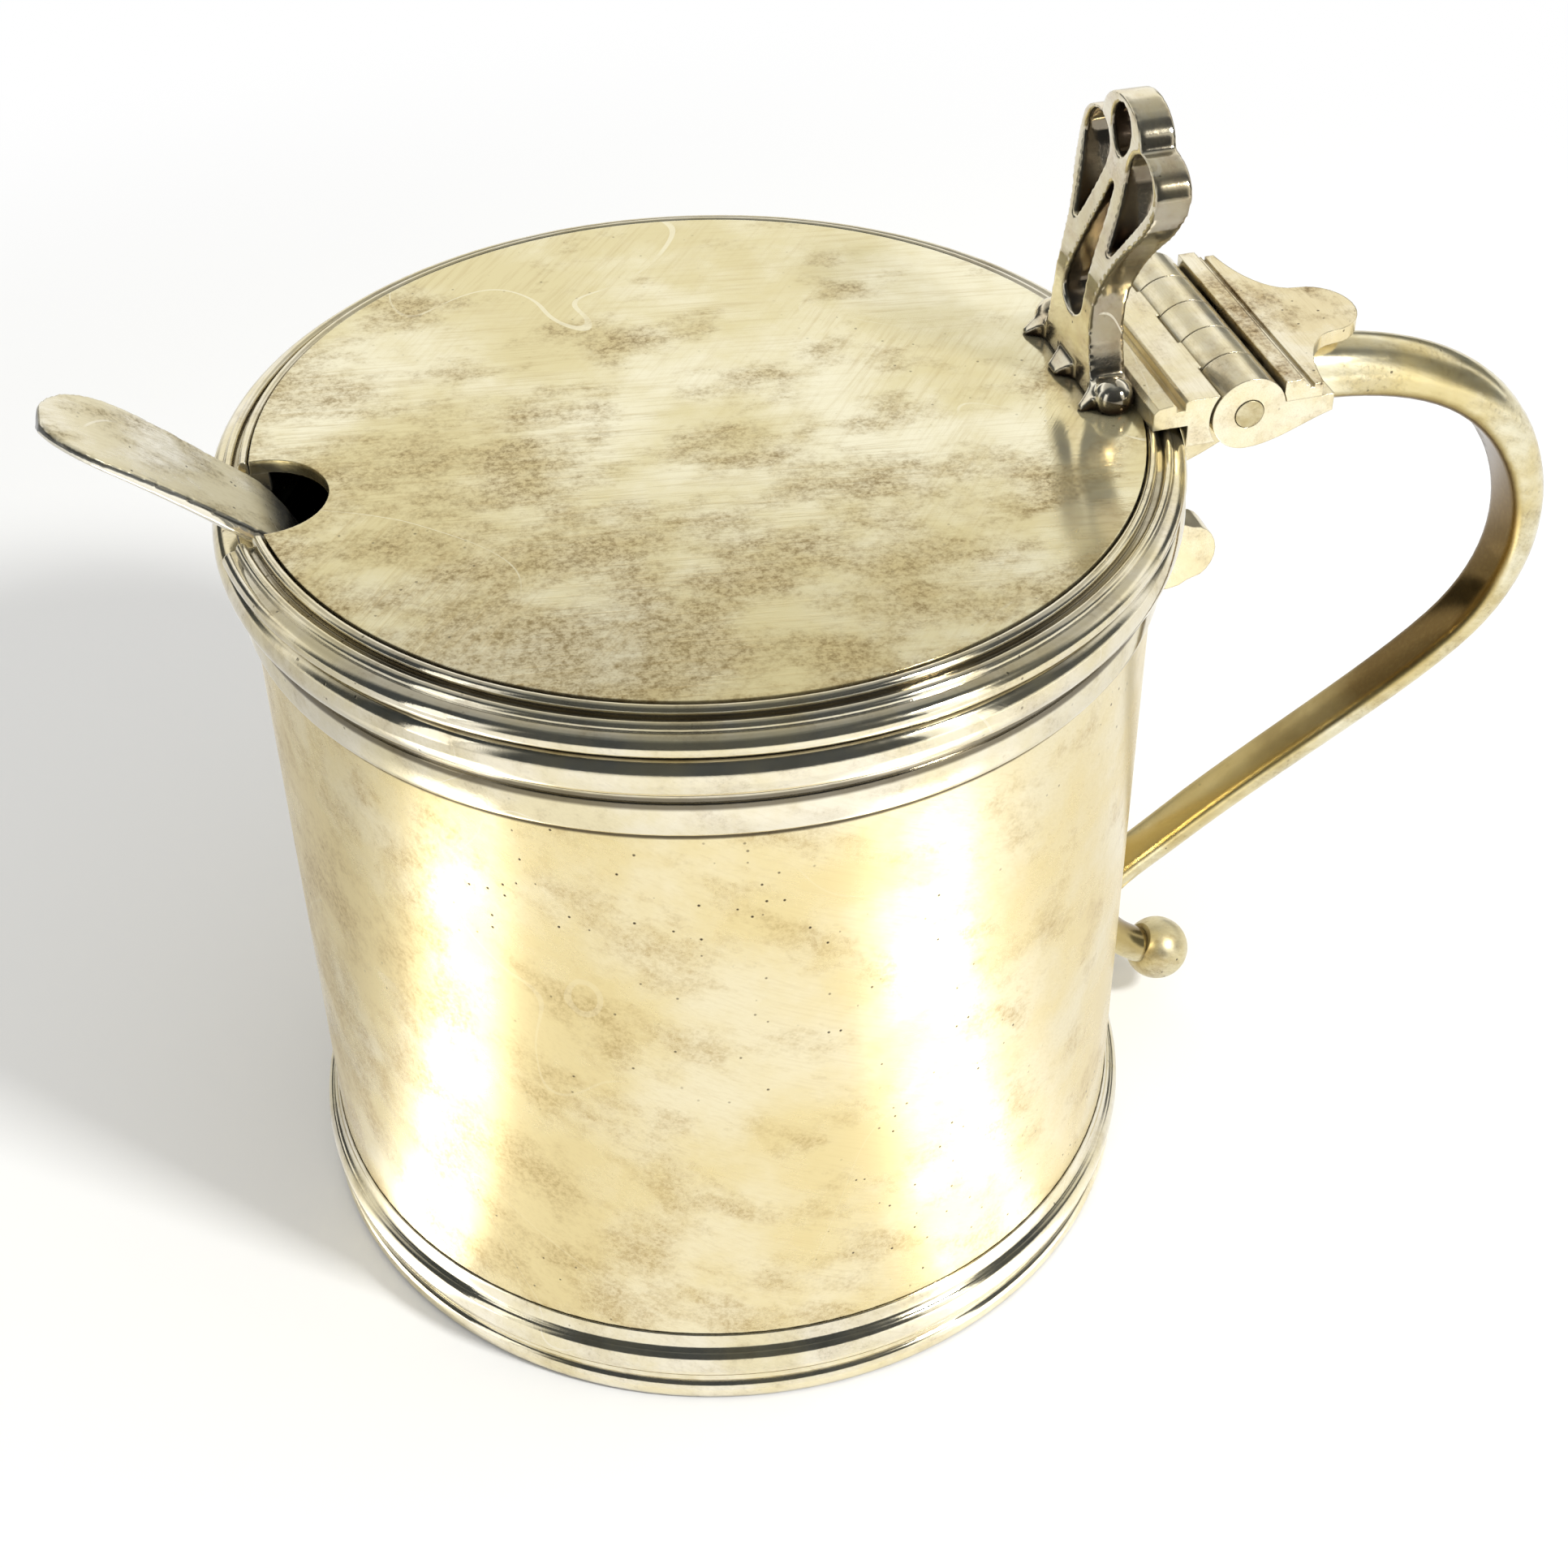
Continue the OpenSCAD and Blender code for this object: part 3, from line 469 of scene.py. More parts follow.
            # Air reaches the upper faces, while the rounded underside keeps its polish.
            up = add(tree, "ShaderNodeNewGeometry").outputs["Normal"]
            up = add(tree, "ShaderNodeSeparateXYZ", {0: up}).outputs["Z"]
            up = add(tree, "ShaderNodeMapRange", {
                "Value": up, "From Min": UPWARD[0], "From Max": UPWARD[1],
            }).outputs[0]
            film, smear, grain, stroke = (
                add(tree, "ShaderNodeMath", {0: mask, 1: up}, operation="MULTIPLY").outputs[0]
                for mask in (film, smear, grain, stroke)
            )
        pit = self.pits(tree, place, slow)
        soil_and_shade = self.lay_soil_and_shade(tree, place)
        layers = [
            (film, self.film), (smear, self.tan), (grain, self.brown), *self.shades(tree, place, cloud),
            (stroke, self.tan), (scratch, self.bright), (pit, self.soil_and_shade), (soil_and_shade, self.soil_and_shade),
        ]
        colour: Any = linear(self.bright)
        for mask, paint in layers:
            colour = add(tree, "ShaderNodeMix", {
                "Factor": mask, 6: colour, 7: linear(paint),
            }, data_type="RGBA").outputs[2]

        dull = add(tree, "ShaderNodeMapRange", {
            "Value": film, "To Min": self.rough[0], "To Max": self.rough[1],
        }).outputs[0]
        for mask, gain in ((grain, GRAIN_DULLS), (stroke, STROKE_DULLS)):
            dull = add(tree, "ShaderNodeMath", {
                0: mask, 1: gain, 2: dull,
            }, operation="MULTIPLY_ADD").outputs[0]

        # A thick film scatters light like a coat of fine dust, so that less of the metal shows.
        metal = add(tree, "ShaderNodeMapRange", {
            "Value": film, "To Min": 1.0 - self.veil / 2, "To Max": 1.0 - self.veil,
        }).outputs[0]
        relief = add(tree, "ShaderNodeMath", {
            0: grain, 1: GRAIN_HEIGHT, 2: stroke,
        }, operation="MULTIPLY_ADD").outputs[0]
        relief = add(tree, "ShaderNodeMath", {0: relief, 1: pit}, operation="SUBTRACT").outputs[0]
        worn_edge = add(tree, "ShaderNodeBevel", {"Radius": self.edge_mm * MM}, samples=6).outputs[0]
        bump = add(tree, "ShaderNodeBump", {
            "Height": relief, "Strength": RELIEF_SHARE, "Distance": RELIEF_MM * MM, "Normal": worn_edge,
        }).outputs[0]
        shader = add(tree, "ShaderNodeBsdfPrincipled", {
            "Base Color": colour, "Metallic": metal, "Roughness": dull, "Normal": bump,
        })
        add(tree, "ShaderNodeOutputMaterial", {"Surface": shader.outputs[0]})
        return material


@dataclass(frozen=True)
class GlassFinish:
    """Cobalt glass, blown in a mould: deep blue, smooth, and faintly uneven.

    Attributes:
        name: Name of the material.
        colour: Colour of the light that comes through.
        ripple_mm: Size of the faint ripples that the mould left.
        ripple_height_mm: Their height.
        ripple_share: How much they show, from 0 to 1.
        rough: Roughness from the smoothest to the dullest place.
    """

    name: str = "mould_blown_cobalt_glass"
    colour: str = "#2b46a8"
    ripple_mm: float = 9.0
    ripple_height_mm: float = 0.2
    ripple_share: float = 0.2
    rough: tuple[float, float] = (0.02, 0.09)

    def make(self) -> bpy.types.Material:
        """Build the material.

        Returns:
            A clear blue glass with slow ripples in its gloss.
        """
        material, tree = new_material(self.name)
        place = add(tree, "ShaderNodeTexCoord").outputs["Object"]
        ripple = add(tree, "ShaderNodeTexNoise", {
            "Vector": place, "Scale": per_mm(self.ripple_mm), "Detail": 2.0,
        }).outputs[0]
        bump = add(tree, "ShaderNodeBump", {
            "Height": ripple, "Strength": self.ripple_share, "Distance": self.ripple_height_mm * MM,
        }).outputs[0]
        dull = add(tree, "ShaderNodeMapRange", {
            "Value": ripple, "To Min": self.rough[0], "To Max": self.rough[1],
        }).outputs[0]
        shader = add(tree, "ShaderNodeBsdfPrincipled", {
            "Base Color": linear(self.colour), "Roughness": dull, "IOR": 1.52,
            "Transmission Weight": 1.0, "Normal": bump,
        })
        add(tree, "ShaderNodeOutputMaterial", {"Surface": shader.outputs[0]})
        return material


def soft_facets(limit_deg: float) -> bpy.types.NodeTree:
    """Make a modifier tree that shades small steps as one curve and keeps real edges sharp.

    Args:
        limit_deg: Largest angle between two faces that still counts as a curve.

    Returns:
        The geometry node tree.
    """
    tree = bpy.data.node_groups.new(f"soft_facets_{limit_deg:.0f}", "GeometryNodeTree")
    tree.interface.new_socket("Geometry", in_out="INPUT", socket_type="NodeSocketGeometry")
    tree.interface.new_socket("Geometry", in_out="OUTPUT", socket_type="NodeSocketGeometry")
    mesh = add(tree, "NodeGroupInput").outputs[0]
    mesh = add(tree, "GeometryNodeRemoveAttribute", {0: mesh, "Name": "custom_normal"}).outputs[0]
    mesh = add(tree, "GeometryNodeMergeByDistance", {0: mesh, "Distance": WELD_MM * MM}).outputs[0]
    mesh = add(tree, "GeometryNodeSetShadeSmooth", {0: mesh, "Shade Smooth": True}, domain="FACE").outputs[0]
    angle = add(tree, "GeometryNodeInputMeshEdgeAngle").outputs["Unsigned Angle"]
    curve = add(tree, "FunctionNodeCompare", {
        0: angle, 1: math.radians(limit_deg),
    }, operation="LESS_THAN").outputs[0]
    mesh = add(tree, "GeometryNodeSetShadeSmooth", {0: mesh, "Shade Smooth": curve}, domain="EDGE").outputs[0]
    add(tree, "NodeGroupOutput", {0: mesh})
    return tree


@dataclass(frozen=True)
class SoftPiece:
    """A piece whose edges were melted or hammered round, made from its sharp solid.

    Attributes:
        name: Name of the piece.
        node: Node that it takes the place of.
        body: Body that it rides on.
        slot: Slot that its material belongs to; not used.
        finish: Its finish.
        passes: Number of passes that round its edges.
        pass_share: How far one pass moves a point towards its neighbours, from 0 to 1.
        voxel_mm: Size of the grid on which it is shaped.
        keep: Share of the grid's faces that is kept.
    """

    name: str
    node: str
    body: str
    slot: str
    finish: SilverFinish
    passes: int
    pass_share: float = 0.5
    voxel_mm: float = 0.15
    keep: float = 0.6

    def make(self) -> None:
        """Shape the piece, dress it and put it in the node's place."""
        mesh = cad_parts[self.node].data.copy()
        edit = bmesh.new()
        edit.from_mesh(mesh)
        bmesh.ops.remove_doubles(edit, verts=edit.verts, dist=WELD_MM * MM)
        edit.to_mesh(mesh)
        edit.free()
        piece = bpy.data.objects.new(self.name, mesh)
        bpy.context.scene.collection.objects.link(piece)
        melt = piece.modifiers.new("melt", "REMESH")
        melt.mode, melt.voxel_size = "VOXEL", self.voxel_mm * MM
        polish = piece.modifiers.new("polish", "SMOOTH")
        polish.factor, polish.iterations = self.pass_share, self.passes
        fewer = piece.modifiers.new("fewer", "DECIMATE")
        fewer.ratio = self.keep
        graph = bpy.context.evaluated_depsgraph_get()
        shaped = bpy.data.meshes.new_from_object(piece.evaluated_get(graph), depsgraph=graph)
        piece.modifiers.clear()
        piece.data = shaped
        shaped.polygons.foreach_set("use_smooth", [True] * len(shaped.polygons))
        shaped.materials.clear()
        shaped.materials.append(self.finish.make())
        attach(piece, self.body)
        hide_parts(self.node)
        LOG.info("%s: %s, %d faces", self.name, self.finish.name, len(shaped.polygons))


@dataclass
class SubAssembly:
    """A group of solids that share their finishes.

    Attributes:
        finishes: Material for each node's name.
        curve_limit_deg: Largest step between two faces that is shaded as a curve.
    """

    finishes: dict[str, SilverFinish | GlassFinish] = field(default_factory=dict)
    curve_limit_deg: float = 32.0

    def dress(self) -> None:
        """Give each node its material and smooth shading."""
        tree = soft_facets(self.curve_limit_deg)
        for name, finish in self.finishes.items():
            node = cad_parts[name]
            node.material_slots[0].material = bpy.data.materials.get(finish.name) or finish.make()
            node.modifiers.new("soft_facets", "NODES").node_group = tree
            LOG.info("%s: %s", name, finish.name)


# Rolled sheet: a soft cream shine with tan smears, a few dark pits and the cloth's slanting marks.
ROLLED_SHEET = SilverFinish(
    name="rolled_sterling_sheet", bright="#f6eac4", film="#ecd9a0", tan="#c9ae76", soil_and_shade="#3a2c1a",
    brown="#ab8f54", rough=(0.2, 0.28), veil=0.2, tan_share=0.34, brown_share=0.55, smear_mm=(8.0, 4.0),
    grain_mm=0.36, grain_cover=(0.42, 0.62), stroke_share=0.15, lean=(-2.0, 0.0, -1.0), scratch_share=0.25,
    pit_share=0.95, dark_lines_mm=((51.2, 0.4),),
)
# Planished sheet of the lid: flatter and browner, with a mesh of fine grains over broad patches.
LID_SHEET = SilverFinish(
    name="planished_sterling_lid", bright="#f9f2d2", film="#e3d6a2", tan="#c1a971", brown="#8c7544",
    rough=(0.08, 0.15), veil=0.33, tan_share=0.5, brown_share=0.8, smear_mm=(8.0, 5.0), grain_mm=0.38,
    grain_cover=(0.42, 0.64), stroke_mm=(5.0, 0.3), stroke_share=0.35, strokes=Strokes.ACROSS_THE_LID,
    hatch=Strokes.SLANTED_ON_THE_LID, lean=(-2.4, -3.5, 0.0), scratch_share=0.6, pit_share=0.5,
    soil_and_shade_share=0.6, dark_lines_mm=((59.35, 0.42),),
)
# Drawn reeded wire: bright on the reeds, where cloths reach, and dark in the grooves.
REEDED_WIRE = SilverFinish(
    name="drawn_reeded_sterling_wire", bright="#f7efd8", film="#ede1ba", tan="#b7a37b", brown="#6d5a38",
    soil_and_shade="#463a28", rough=(0.06, 0.12), film_share=0.5, veil=0.06, tan_share=0.3, brown_share=0.3,
    cloud_mm=7.0, smear_mm=(5.0, 3.0), stroke_share=0.1, pit_share=0.6, soil_and_shade_mm=0.7, soil_and_shade_share=0.8,
    dark_lines_mm=((53.95, 0.55), (51.4, 0.25)),
)
# Filed fittings of the hinge: cream flats with file marks and dark joints.
FILED_FITTING = SilverFinish(
    name="filed_sterling_fitting", bright="#f7eed2", film="#eee1b6", tan="#bda67a", brown="#7a6540",
    soil_and_shade="#4a3a24", strokes=Strokes.ALONG_THE_FITTING, rough=(0.12, 0.2), cloud_mm=5.0, smear_mm=(4.0, 2.0),
    grain_mm=0.35, stroke_mm=(3.0, 0.12), stroke_share=0.2, tan_share=0.35, brown_share=0.4, soil_and_shade_mm=0.5,
    soil_and_shade_share=0.4,
)
# Filed shield: stained tan and brown in soft spots, since no cloth gets behind the thumbpiece.
TONED_SHIELD = replace(
    FILED_FITTING, name="filed_sterling_shield", film="#ecdcae", tan="#b59a64", brown="#72582c",
    smear_mm=(6.0, 4.0), grain_cover=(0.42, 0.62), tan_share=0.85, brown_share=0.9,
)
# Cast thumbpiece: polished on its ribs, pinkish in its piercings, which painted shade makes dark, and with a
# painted dark reflection on its sides.
CAST_THUMBPIECE = SilverFinish(
    name="cast_sterling_thumbpiece", bright="#f7f0da", film="#ebdfba", tan="#bb967a", brown="#5f5238",
    soil_and_shade="#2c1712", rough=(0.07, 0.14), film_share=0.45, veil=0.1, tan_share=0.3, brown_share=0.3,
    cloud_mm=4.0, smear_mm=(4.0, 2.0), grain_mm=0.35, stroke_share=0.1, strokes=Strokes.ALONG_THE_FITTING,
    # Wide, strong darkening of hollows paints shade into the piercings.
    edge_mm=0.15, soil_and_shade_mm=4.0, soil_and_shade_share=0.97, soil_and_shade_open=(0.45, 0.88), painted_side_reflection=0.65,
)
# Cast handle: gold-brown toning, with painted shade darkest inside the loop, where fingers never rub it
# either.
TONED_CASTING = SilverFinish(
    name="toned_sterling_casting", bright="#f6efd0", film="#e4d39c", tan="#b9a468", brown="#634a20",
    soil_and_shade="#2a1b0a", rough=(0.1, 0.18), film_share=0.55, veil=0.2, tan_share=0.5, brown_share=0.45,
    cloud_mm=9.0, smear_mm=(9.0, 3.0), stroke_share=0.12, scratch_share=0.0, edge_mm=0.5, soil_and_shade_mm=1.2,
    shade_centre_mm=(48.0, 0.0, 40.0),
)
# Turned ball: duller than the handle, cream on top and tan where it is hard to reach.
TURNED_BALL = SilverFinish(
    name="turned_sterling_ball", bright="#f3ebcc", film="#ddd0a2", tan="#ad9560", brown="#6d5830",
    rough=(0.28, 0.4), film_share=0.7, cloud_mm=4.0, smear_mm=(3.0, 2.0), tan_share=0.6, grain_mm=0.35,
    scratch_share=0.0, soil_and_shade_mm=1.2,
)
# Drawn pin: its cut end is duller than the knuckle round it.
DRAWN_PIN = replace(TURNED_BALL, name="drawn_sterling_pin", film="#c4b88c")
# Forged spoon: grainy and matt on top, still polished on its rounded underside, with a painted dark
# reflection along its upper edge.
FORGED_SPOON = SilverFinish(
    name="forged_sterling_spoon", bright="#f4eedb", film="#ddd3b0", tan="#bbab80", brown="#76663f",
    rough=(0.08, 0.32), film_share=0.9, veil=0.5, brown_share=0.8, cloud_mm=5.0, smear_mm=(5.0, 2.0),
    grain_mm=0.35, grain_cover=(0.46, 0.66), stroke_mm=(4.0, 0.12), soil_and_shade_mm=0.5, painted_edge_reflection="#34383b",
    bright_below=True,
)
# Cobalt glass: clear and deep blue, with the slow ripples of a mould.
COBALT_GLASS = GlassFinish()


@dataclass
class Drum(SubAssembly):
    """The pot's body: wall, base, mouldings and liner."""

    finishes: dict[str, SilverFinish | GlassFinish] = field(default_factory=lambda: {
        "body_wall": ROLLED_SHEET,
        "base_plate": ROLLED_SHEET,
        "foot_rim": REEDED_WIRE,
        "body_rim": REEDED_WIRE,
        "glass_liner": COBALT_GLASS,
    })


@dataclass
class HingeAndHandle(SubAssembly):
    """What is soldered to the drum's back: bracket, shield, knuckles, pin and handle."""

    finishes: dict[str, SilverFinish | GlassFinish] = field(default_factory=lambda: {
        "hinge_bracket": FILED_FITTING,
        "shield_plate": TONED_SHIELD,
        "pot_knuckle_near": FILED_FITTING,
        "pot_knuckle_mid": FILED_FITTING,
        "pot_knuckle_far": FILED_FITTING,
        "hinge_pin": DRAWN_PIN,
        "handle": TONED_CASTING,
        "handle_ball": TURNED_BALL,
        "handle_leaf": FILED_FITTING,
    })


@dataclass
class Lid(SubAssembly):
    """The lid with its border, its half of the hinge and the thumbpiece."""

    finishes: dict[str, SilverFinish | GlassFinish] = field(default_factory=lambda: {
        "lid_plate": LID_SHEET,
        "lid_rim": REEDED_WIRE,
        "lid_leaf": FILED_FITTING,
        "lid_knuckle_near": FILED_FITTING,
        "lid_knuckle_far": FILED_FITTING,
    })
    thumbpiece: SoftPiece = SoftPiece(
        "thumbpiece_casting", "thumbpiece", "lid", "polished_silver", CAST_THUMBPIECE, passes=5,
    )

    def dress(self) -> None:
        """Dress the solids and make the casting."""
        super().dress()
        self.thumbpiece.make()


@dataclass
class Spoon(SubAssembly):
    """The mustard spoon, forged and rounded along its edges."""

    forging: SoftPiece = SoftPiece("spoon_forging", "spoon", "spoon", "spoon_silver", FORGED_SPOON, passes=12)

    def dress(self) -> None:
        """Make the forging."""
        self.forging.make()


@dataclass(frozen=True)
class Lamp:
    """A soft rectangular lamp that points at the pot.

    Attributes:
        name: Name of the lamp.
        place_mm: Where it hangs.
        size_mm: Its width and height.
        watts: Its power.
    """

    name: str
    place_mm: tuple[float, float, float]
    size_mm: tuple[float, float]
    watts: float

    def hang(self, target: Vector) -> None:
        """Make the lamp and point it.

        Args:
            target: Point that it lights.
        """
        light = bpy.data.lights.new(self.name, "AREA")
        light.shape = "RECTANGLE"
        light.size, light.size_y = (v * MM for v in self.size_mm)
        light.energy = self.watts
        lamp = bpy.data.objects.new(self.name, light)
        lamp.location = Vector(self.place_mm) * MM
        lamp.rotation_euler = (target - lamp.location).to_track_quat("-Z", "Y").to_euler()
        bpy.context.scene.collection.objects.link(lamp)


@dataclass(frozen=True)
class Studio:
    """Pale floor, white surround, soft lamps and the camera.

    Attributes:
        eye_mm: Where the camera stands.
        target_mm: What it looks at.
        roll_deg: Its roll about the line of sight.
        lens_mm: Its focal length.
        sensor_mm: Width of its sensor.
        near_mm: Distance at which its view begins.
        lamps: The soft lamps.
        fill: Level of the even light from all round.
        floor_half_mm: Half the width of the floor.
        floor: Colour of the floor.
        floor_fade_mm: Radii between which the floor runs into the white surround.
        curtain_mm: Radius at which a dark curtain hangs, which only polished metal and glass show.
        curtain_steps: Number of its faces round the pot and from bottom to top.
        curtain_before: Colours of the curtain before the pot, by the sine of their height.
        curtain_behind: Colours of the curtain behind it, by the sine of their height.
        before: Where the curtain before the pot hangs, by the share of a turn from straight behind.
        slot_behind: How open the curtain behind the pot is, by the sine of the height.
        gaps: Upright gaps in the curtain, by their share of a turn from straight behind.
        gap_top: Sines of the heights between which the gaps end.
        glow_mm: Inner and outer radius of the floor that polished metal mirrors.
        glow_lift_mm: How far that floor lies above the other.
        glow_steps: Number of its faces.
        glow_gain: What the levels below are multiplied by.
        glow_fade_mm: Radii between which the near floor gives way to the far floor.
        glow_near: The near floor's mirrored level, by its share of a turn from straight behind.
        glow_far: The same for the far floor.
    """

    eye_mm: tuple[float, float, float] = (-30.33, -131.36, 142.96)
    target_mm: tuple[float, float, float] = (4.94, -1.14, 30.23)
    roll_deg: float = -0.9
    lens_mm: float = 56.87
    sensor_mm: float = 36.0
    near_mm: float = 10.0
    lamps: tuple[Lamp, ...] = (
        Lamp("key", (326.0, -356.0, 435.0), (80.0, 80.0), 2.6),
        Lamp("left_strip", (-360.0, -120.0, 150.0), (70.0, 300.0), 0.08),
        Lamp("right_strip", (240.0, -300.0, 160.0), (110.0, 300.0), 0.1),
    )
    fill: float = 0.7
    floor_half_mm: float = 3000.0
    floor: str = "#fbfbf9"
    floor_fade_mm: tuple[float, float] = (115.0, 210.0)
    curtain_mm: float = 2900.0
    curtain_steps: tuple[int, int] = (64, 32)
    curtain_before: Stops = (
        (0.0, "#84868a"), (0.05, "#2c3238"), (0.88, "#2c3238"), (0.97, "#5c6062"), (1.0, "#868888"),
    )
    curtain_behind: Stops = (
        (0.0, "#a8a49c"), (0.05, "#33383c"), (0.44, "#33383c"), (0.54, "#a8a7a3"), (0.8, "#a8a7a3"),
        (1.0, "#868888"),
    )
    before: Stops = ((0.19, 0.0), (0.27, 1.0), (0.73, 1.0), (0.81, 0.0))
    slot_behind: Stops = ((0.3, 0.0), (0.39, 0.75), (0.44, 1.0), (0.54, 1.0), (0.63, 0.3), (0.8, 0.0))
    gaps: Stops = (
        (0.0, 1.0), (0.08, 1.0), (0.105, 0.0), (0.19, 0.0), (0.22, 0.9), (0.25, 0.0), (0.335, 0.0),
        (0.358, 1.0), (0.38, 0.0), (0.63, 0.0), (0.655, 1.0), (0.68, 0.0), (0.77, 0.0), (0.8, 0.9),
        (0.83, 0.0), (0.935, 0.0), (0.96, 1.0), (1.0, 1.0),
    )
    gap_top: tuple[float, float] = (0.45, 0.75)
    glow_mm: tuple[float, float] = (31.5, 420.0)
    glow_lift_mm: float = 0.1
    glow_steps: int = 96
    glow_gain: float = 2.0
    glow_fade_mm: tuple[float, float] = (78.0, 94.0)
    glow_near: Stops = (
        (0.0, 0.46), (0.08, 0.58), (0.16, 0.32), (0.25, 0.3), (0.29, 0.42), (0.312, 0.7), (0.329, 1.8),
        (0.359, 1.8), (0.378, 0.54), (0.42, 0.49), (0.5, 0.5), (0.57, 0.52), (0.59, 0.7), (0.605, 1.4),
        (0.645, 1.4), (0.67, 0.6), (0.72, 0.46), (0.77, 0.44), (0.83, 0.48), (0.92, 0.58), (1.0, 0.46),
    )
    glow_far: Stops = ((0.0, 0.46), (0.25, 0.3), (0.4, 0.5), (0.62, 0.58), (0.75, 0.46), (1.0, 0.46))

    def share_of_turn(self, tree: bpy.types.NodeTree, direction: Socket) -> Socket:
        """Measure how far round a direction lies.

        Args:
            tree: Node tree that takes the nodes.
            direction: Output socket with the direction.

        Returns:
            Socket with 0 straight behind the pot, 0.25 at its left, 0.5 before it and 0.75 at its right.
        """
        front = math.atan2(self.eye_mm[1], self.eye_mm[0])
        turned = add(tree, "ShaderNodeMapping", {
            "Vector": direction, "Rotation": (0.0, 0.0, -front),
        }).outputs[0]
        axes = add(tree, "ShaderNodeSeparateXYZ", {0: turned}).outputs
        angle = add(tree, "ShaderNodeMath", {0: axes["Y"], 1: axes["X"]}, operation="ARCTAN2").outputs[0]
        return add(tree, "ShaderNodeMapRange", {
            "Value": angle, "From Min": -math.pi, "From Max": math.pi,
        }).outputs[0]

    def set_camera(self) -> None:
        """Place the camera at the photograph's viewing angle."""
        data = bpy.data.cameras.new("camera")
        data.lens = self.lens_mm
        data.sensor_width = self.sensor_mm
        data.clip_start = self.near_mm * MM
        camera = bpy.data.objects.new("camera", data)
        eye, target = Vector(self.eye_mm) * MM, Vector(self.target_mm) * MM
        aim = (target - eye).to_track_quat("-Z", "Y").to_matrix().to_4x4()
        roll = Matrix.Rotation(math.radians(self.roll_deg), 4, "Z")
        camera.matrix_world = Matrix.Translation(eye) @ aim @ roll
        bpy.context.scene.collection.objects.link(camera)
        bpy.context.scene.camera = camera

    def set_surround(self) -> None:
        """White for the eye, polished metal and glass, and an even fill for the rest."""
        world = bpy.data.worlds.new("surround")
        world.use_nodes = True
        world.node_tree.nodes.clear()
        tree = world.node_tree
        ray = add(tree, "ShaderNodeLightPath").outputs
        seen = ray["Is Camera Ray"]
        for kind in ("Is Glossy Ray", "Is Transmission Ray"):
            seen = add(tree, "ShaderNodeMath", {0: seen, 1: ray[kind]}, operation="MAXIMUM").outputs[0]
        level = add(tree, "ShaderNodeMapRange", {
            "Value": seen, "To Min": self.fill, "To Max": 1.0,
        }).outputs[0]
        light = add(tree, "ShaderNodeBackground", {"Color": linear(WHITE), "Strength": level})
        add(tree, "ShaderNodeOutputWorld", {"Surface": light.outputs[0]})
        bpy.context.scene.world = world

    def hang_curtain(self) -> None:
        """Hang a dark curtain with gaps round the pot, as is usual for shiny metal, so that its edges show.

        Only polished metal and glass show it, and its gaps let the white surround through.
        """
        edit = bmesh.new()
        round_pot, upward = self.curtain_steps
        bmesh.ops.create_uvsphere(edit, u_segments=round_pot, v_segments=upward, radius=self.curtain_mm * MM)
        mesh = bpy.data.meshes.new("curtain")
        edit.to_mesh(mesh)
        edit.free()
        curtain = bpy.data.objects.new("curtain", mesh)
        material, tree = new_material("dark_curtain")
        place = add(tree, "ShaderNodeTexCoord").outputs["Object"]
        turn = self.share_of_turn(tree, place)
        height = add(tree, "ShaderNodeVectorMath", {0: place}, operation="NORMALIZE").outputs[0]
        height = add(tree, "ShaderNodeSeparateXYZ", {0: height}).outputs["Z"]
        low = add(tree, "ShaderNodeMapRange", {
            "Value": height, "From Min": self.gap_top[0], "From Max": self.gap_top[1],
            "To Min": 1.0, "To Max": 0.0,
        }).outputs[0]
        gap, before = (
            add(tree, "ShaderNodeValToRGB", {0: turn}, stops).outputs[0] for stops in (self.gaps, self.before)
        )
        dim, behind, slot = (
            add(tree, "ShaderNodeValToRGB", {0: height}, stops).outputs[0]
            for stops in (self.curtain_before, self.curtain_behind, self.slot_behind)
        )
        tone = add(tree, "ShaderNodeMix", {"Factor": before, 6: behind, 7: dim}, data_type="RGBA").outputs[2]
        gap = add(tree, "ShaderNodeMath", {0: gap, 1: low}, operation="MULTIPLY").outputs[0]
        slot = add(tree, "ShaderNodeMix", {"Factor": before, 2: slot, 3: 0.0}, data_type="FLOAT").outputs[0]
        bare = add(tree, "ShaderNodeMath", {0: gap, 1: slot}, operation="MAXIMUM").outputs[0]
        cloth = add(tree, "ShaderNodeEmission", {"Color": tone, "Strength": 1.0}).outputs[0]
        clear = add(tree, "ShaderNodeBsdfTransparent").outputs[0]
        shader = add(tree, "ShaderNodeMixShader", {0: bare, 1: cloth, 2: clear})
        add(tree, "ShaderNodeOutputMaterial", {"Surface": shader.outputs[0]})
        material.cycles.emission_sampling = "NONE"
        mesh.materials.append(material)
        bpy.context.scene.collection.objects.link(curtain)
        curtain.visible_camera = curtain.visible_diffuse = curtain.visible_shadow = False

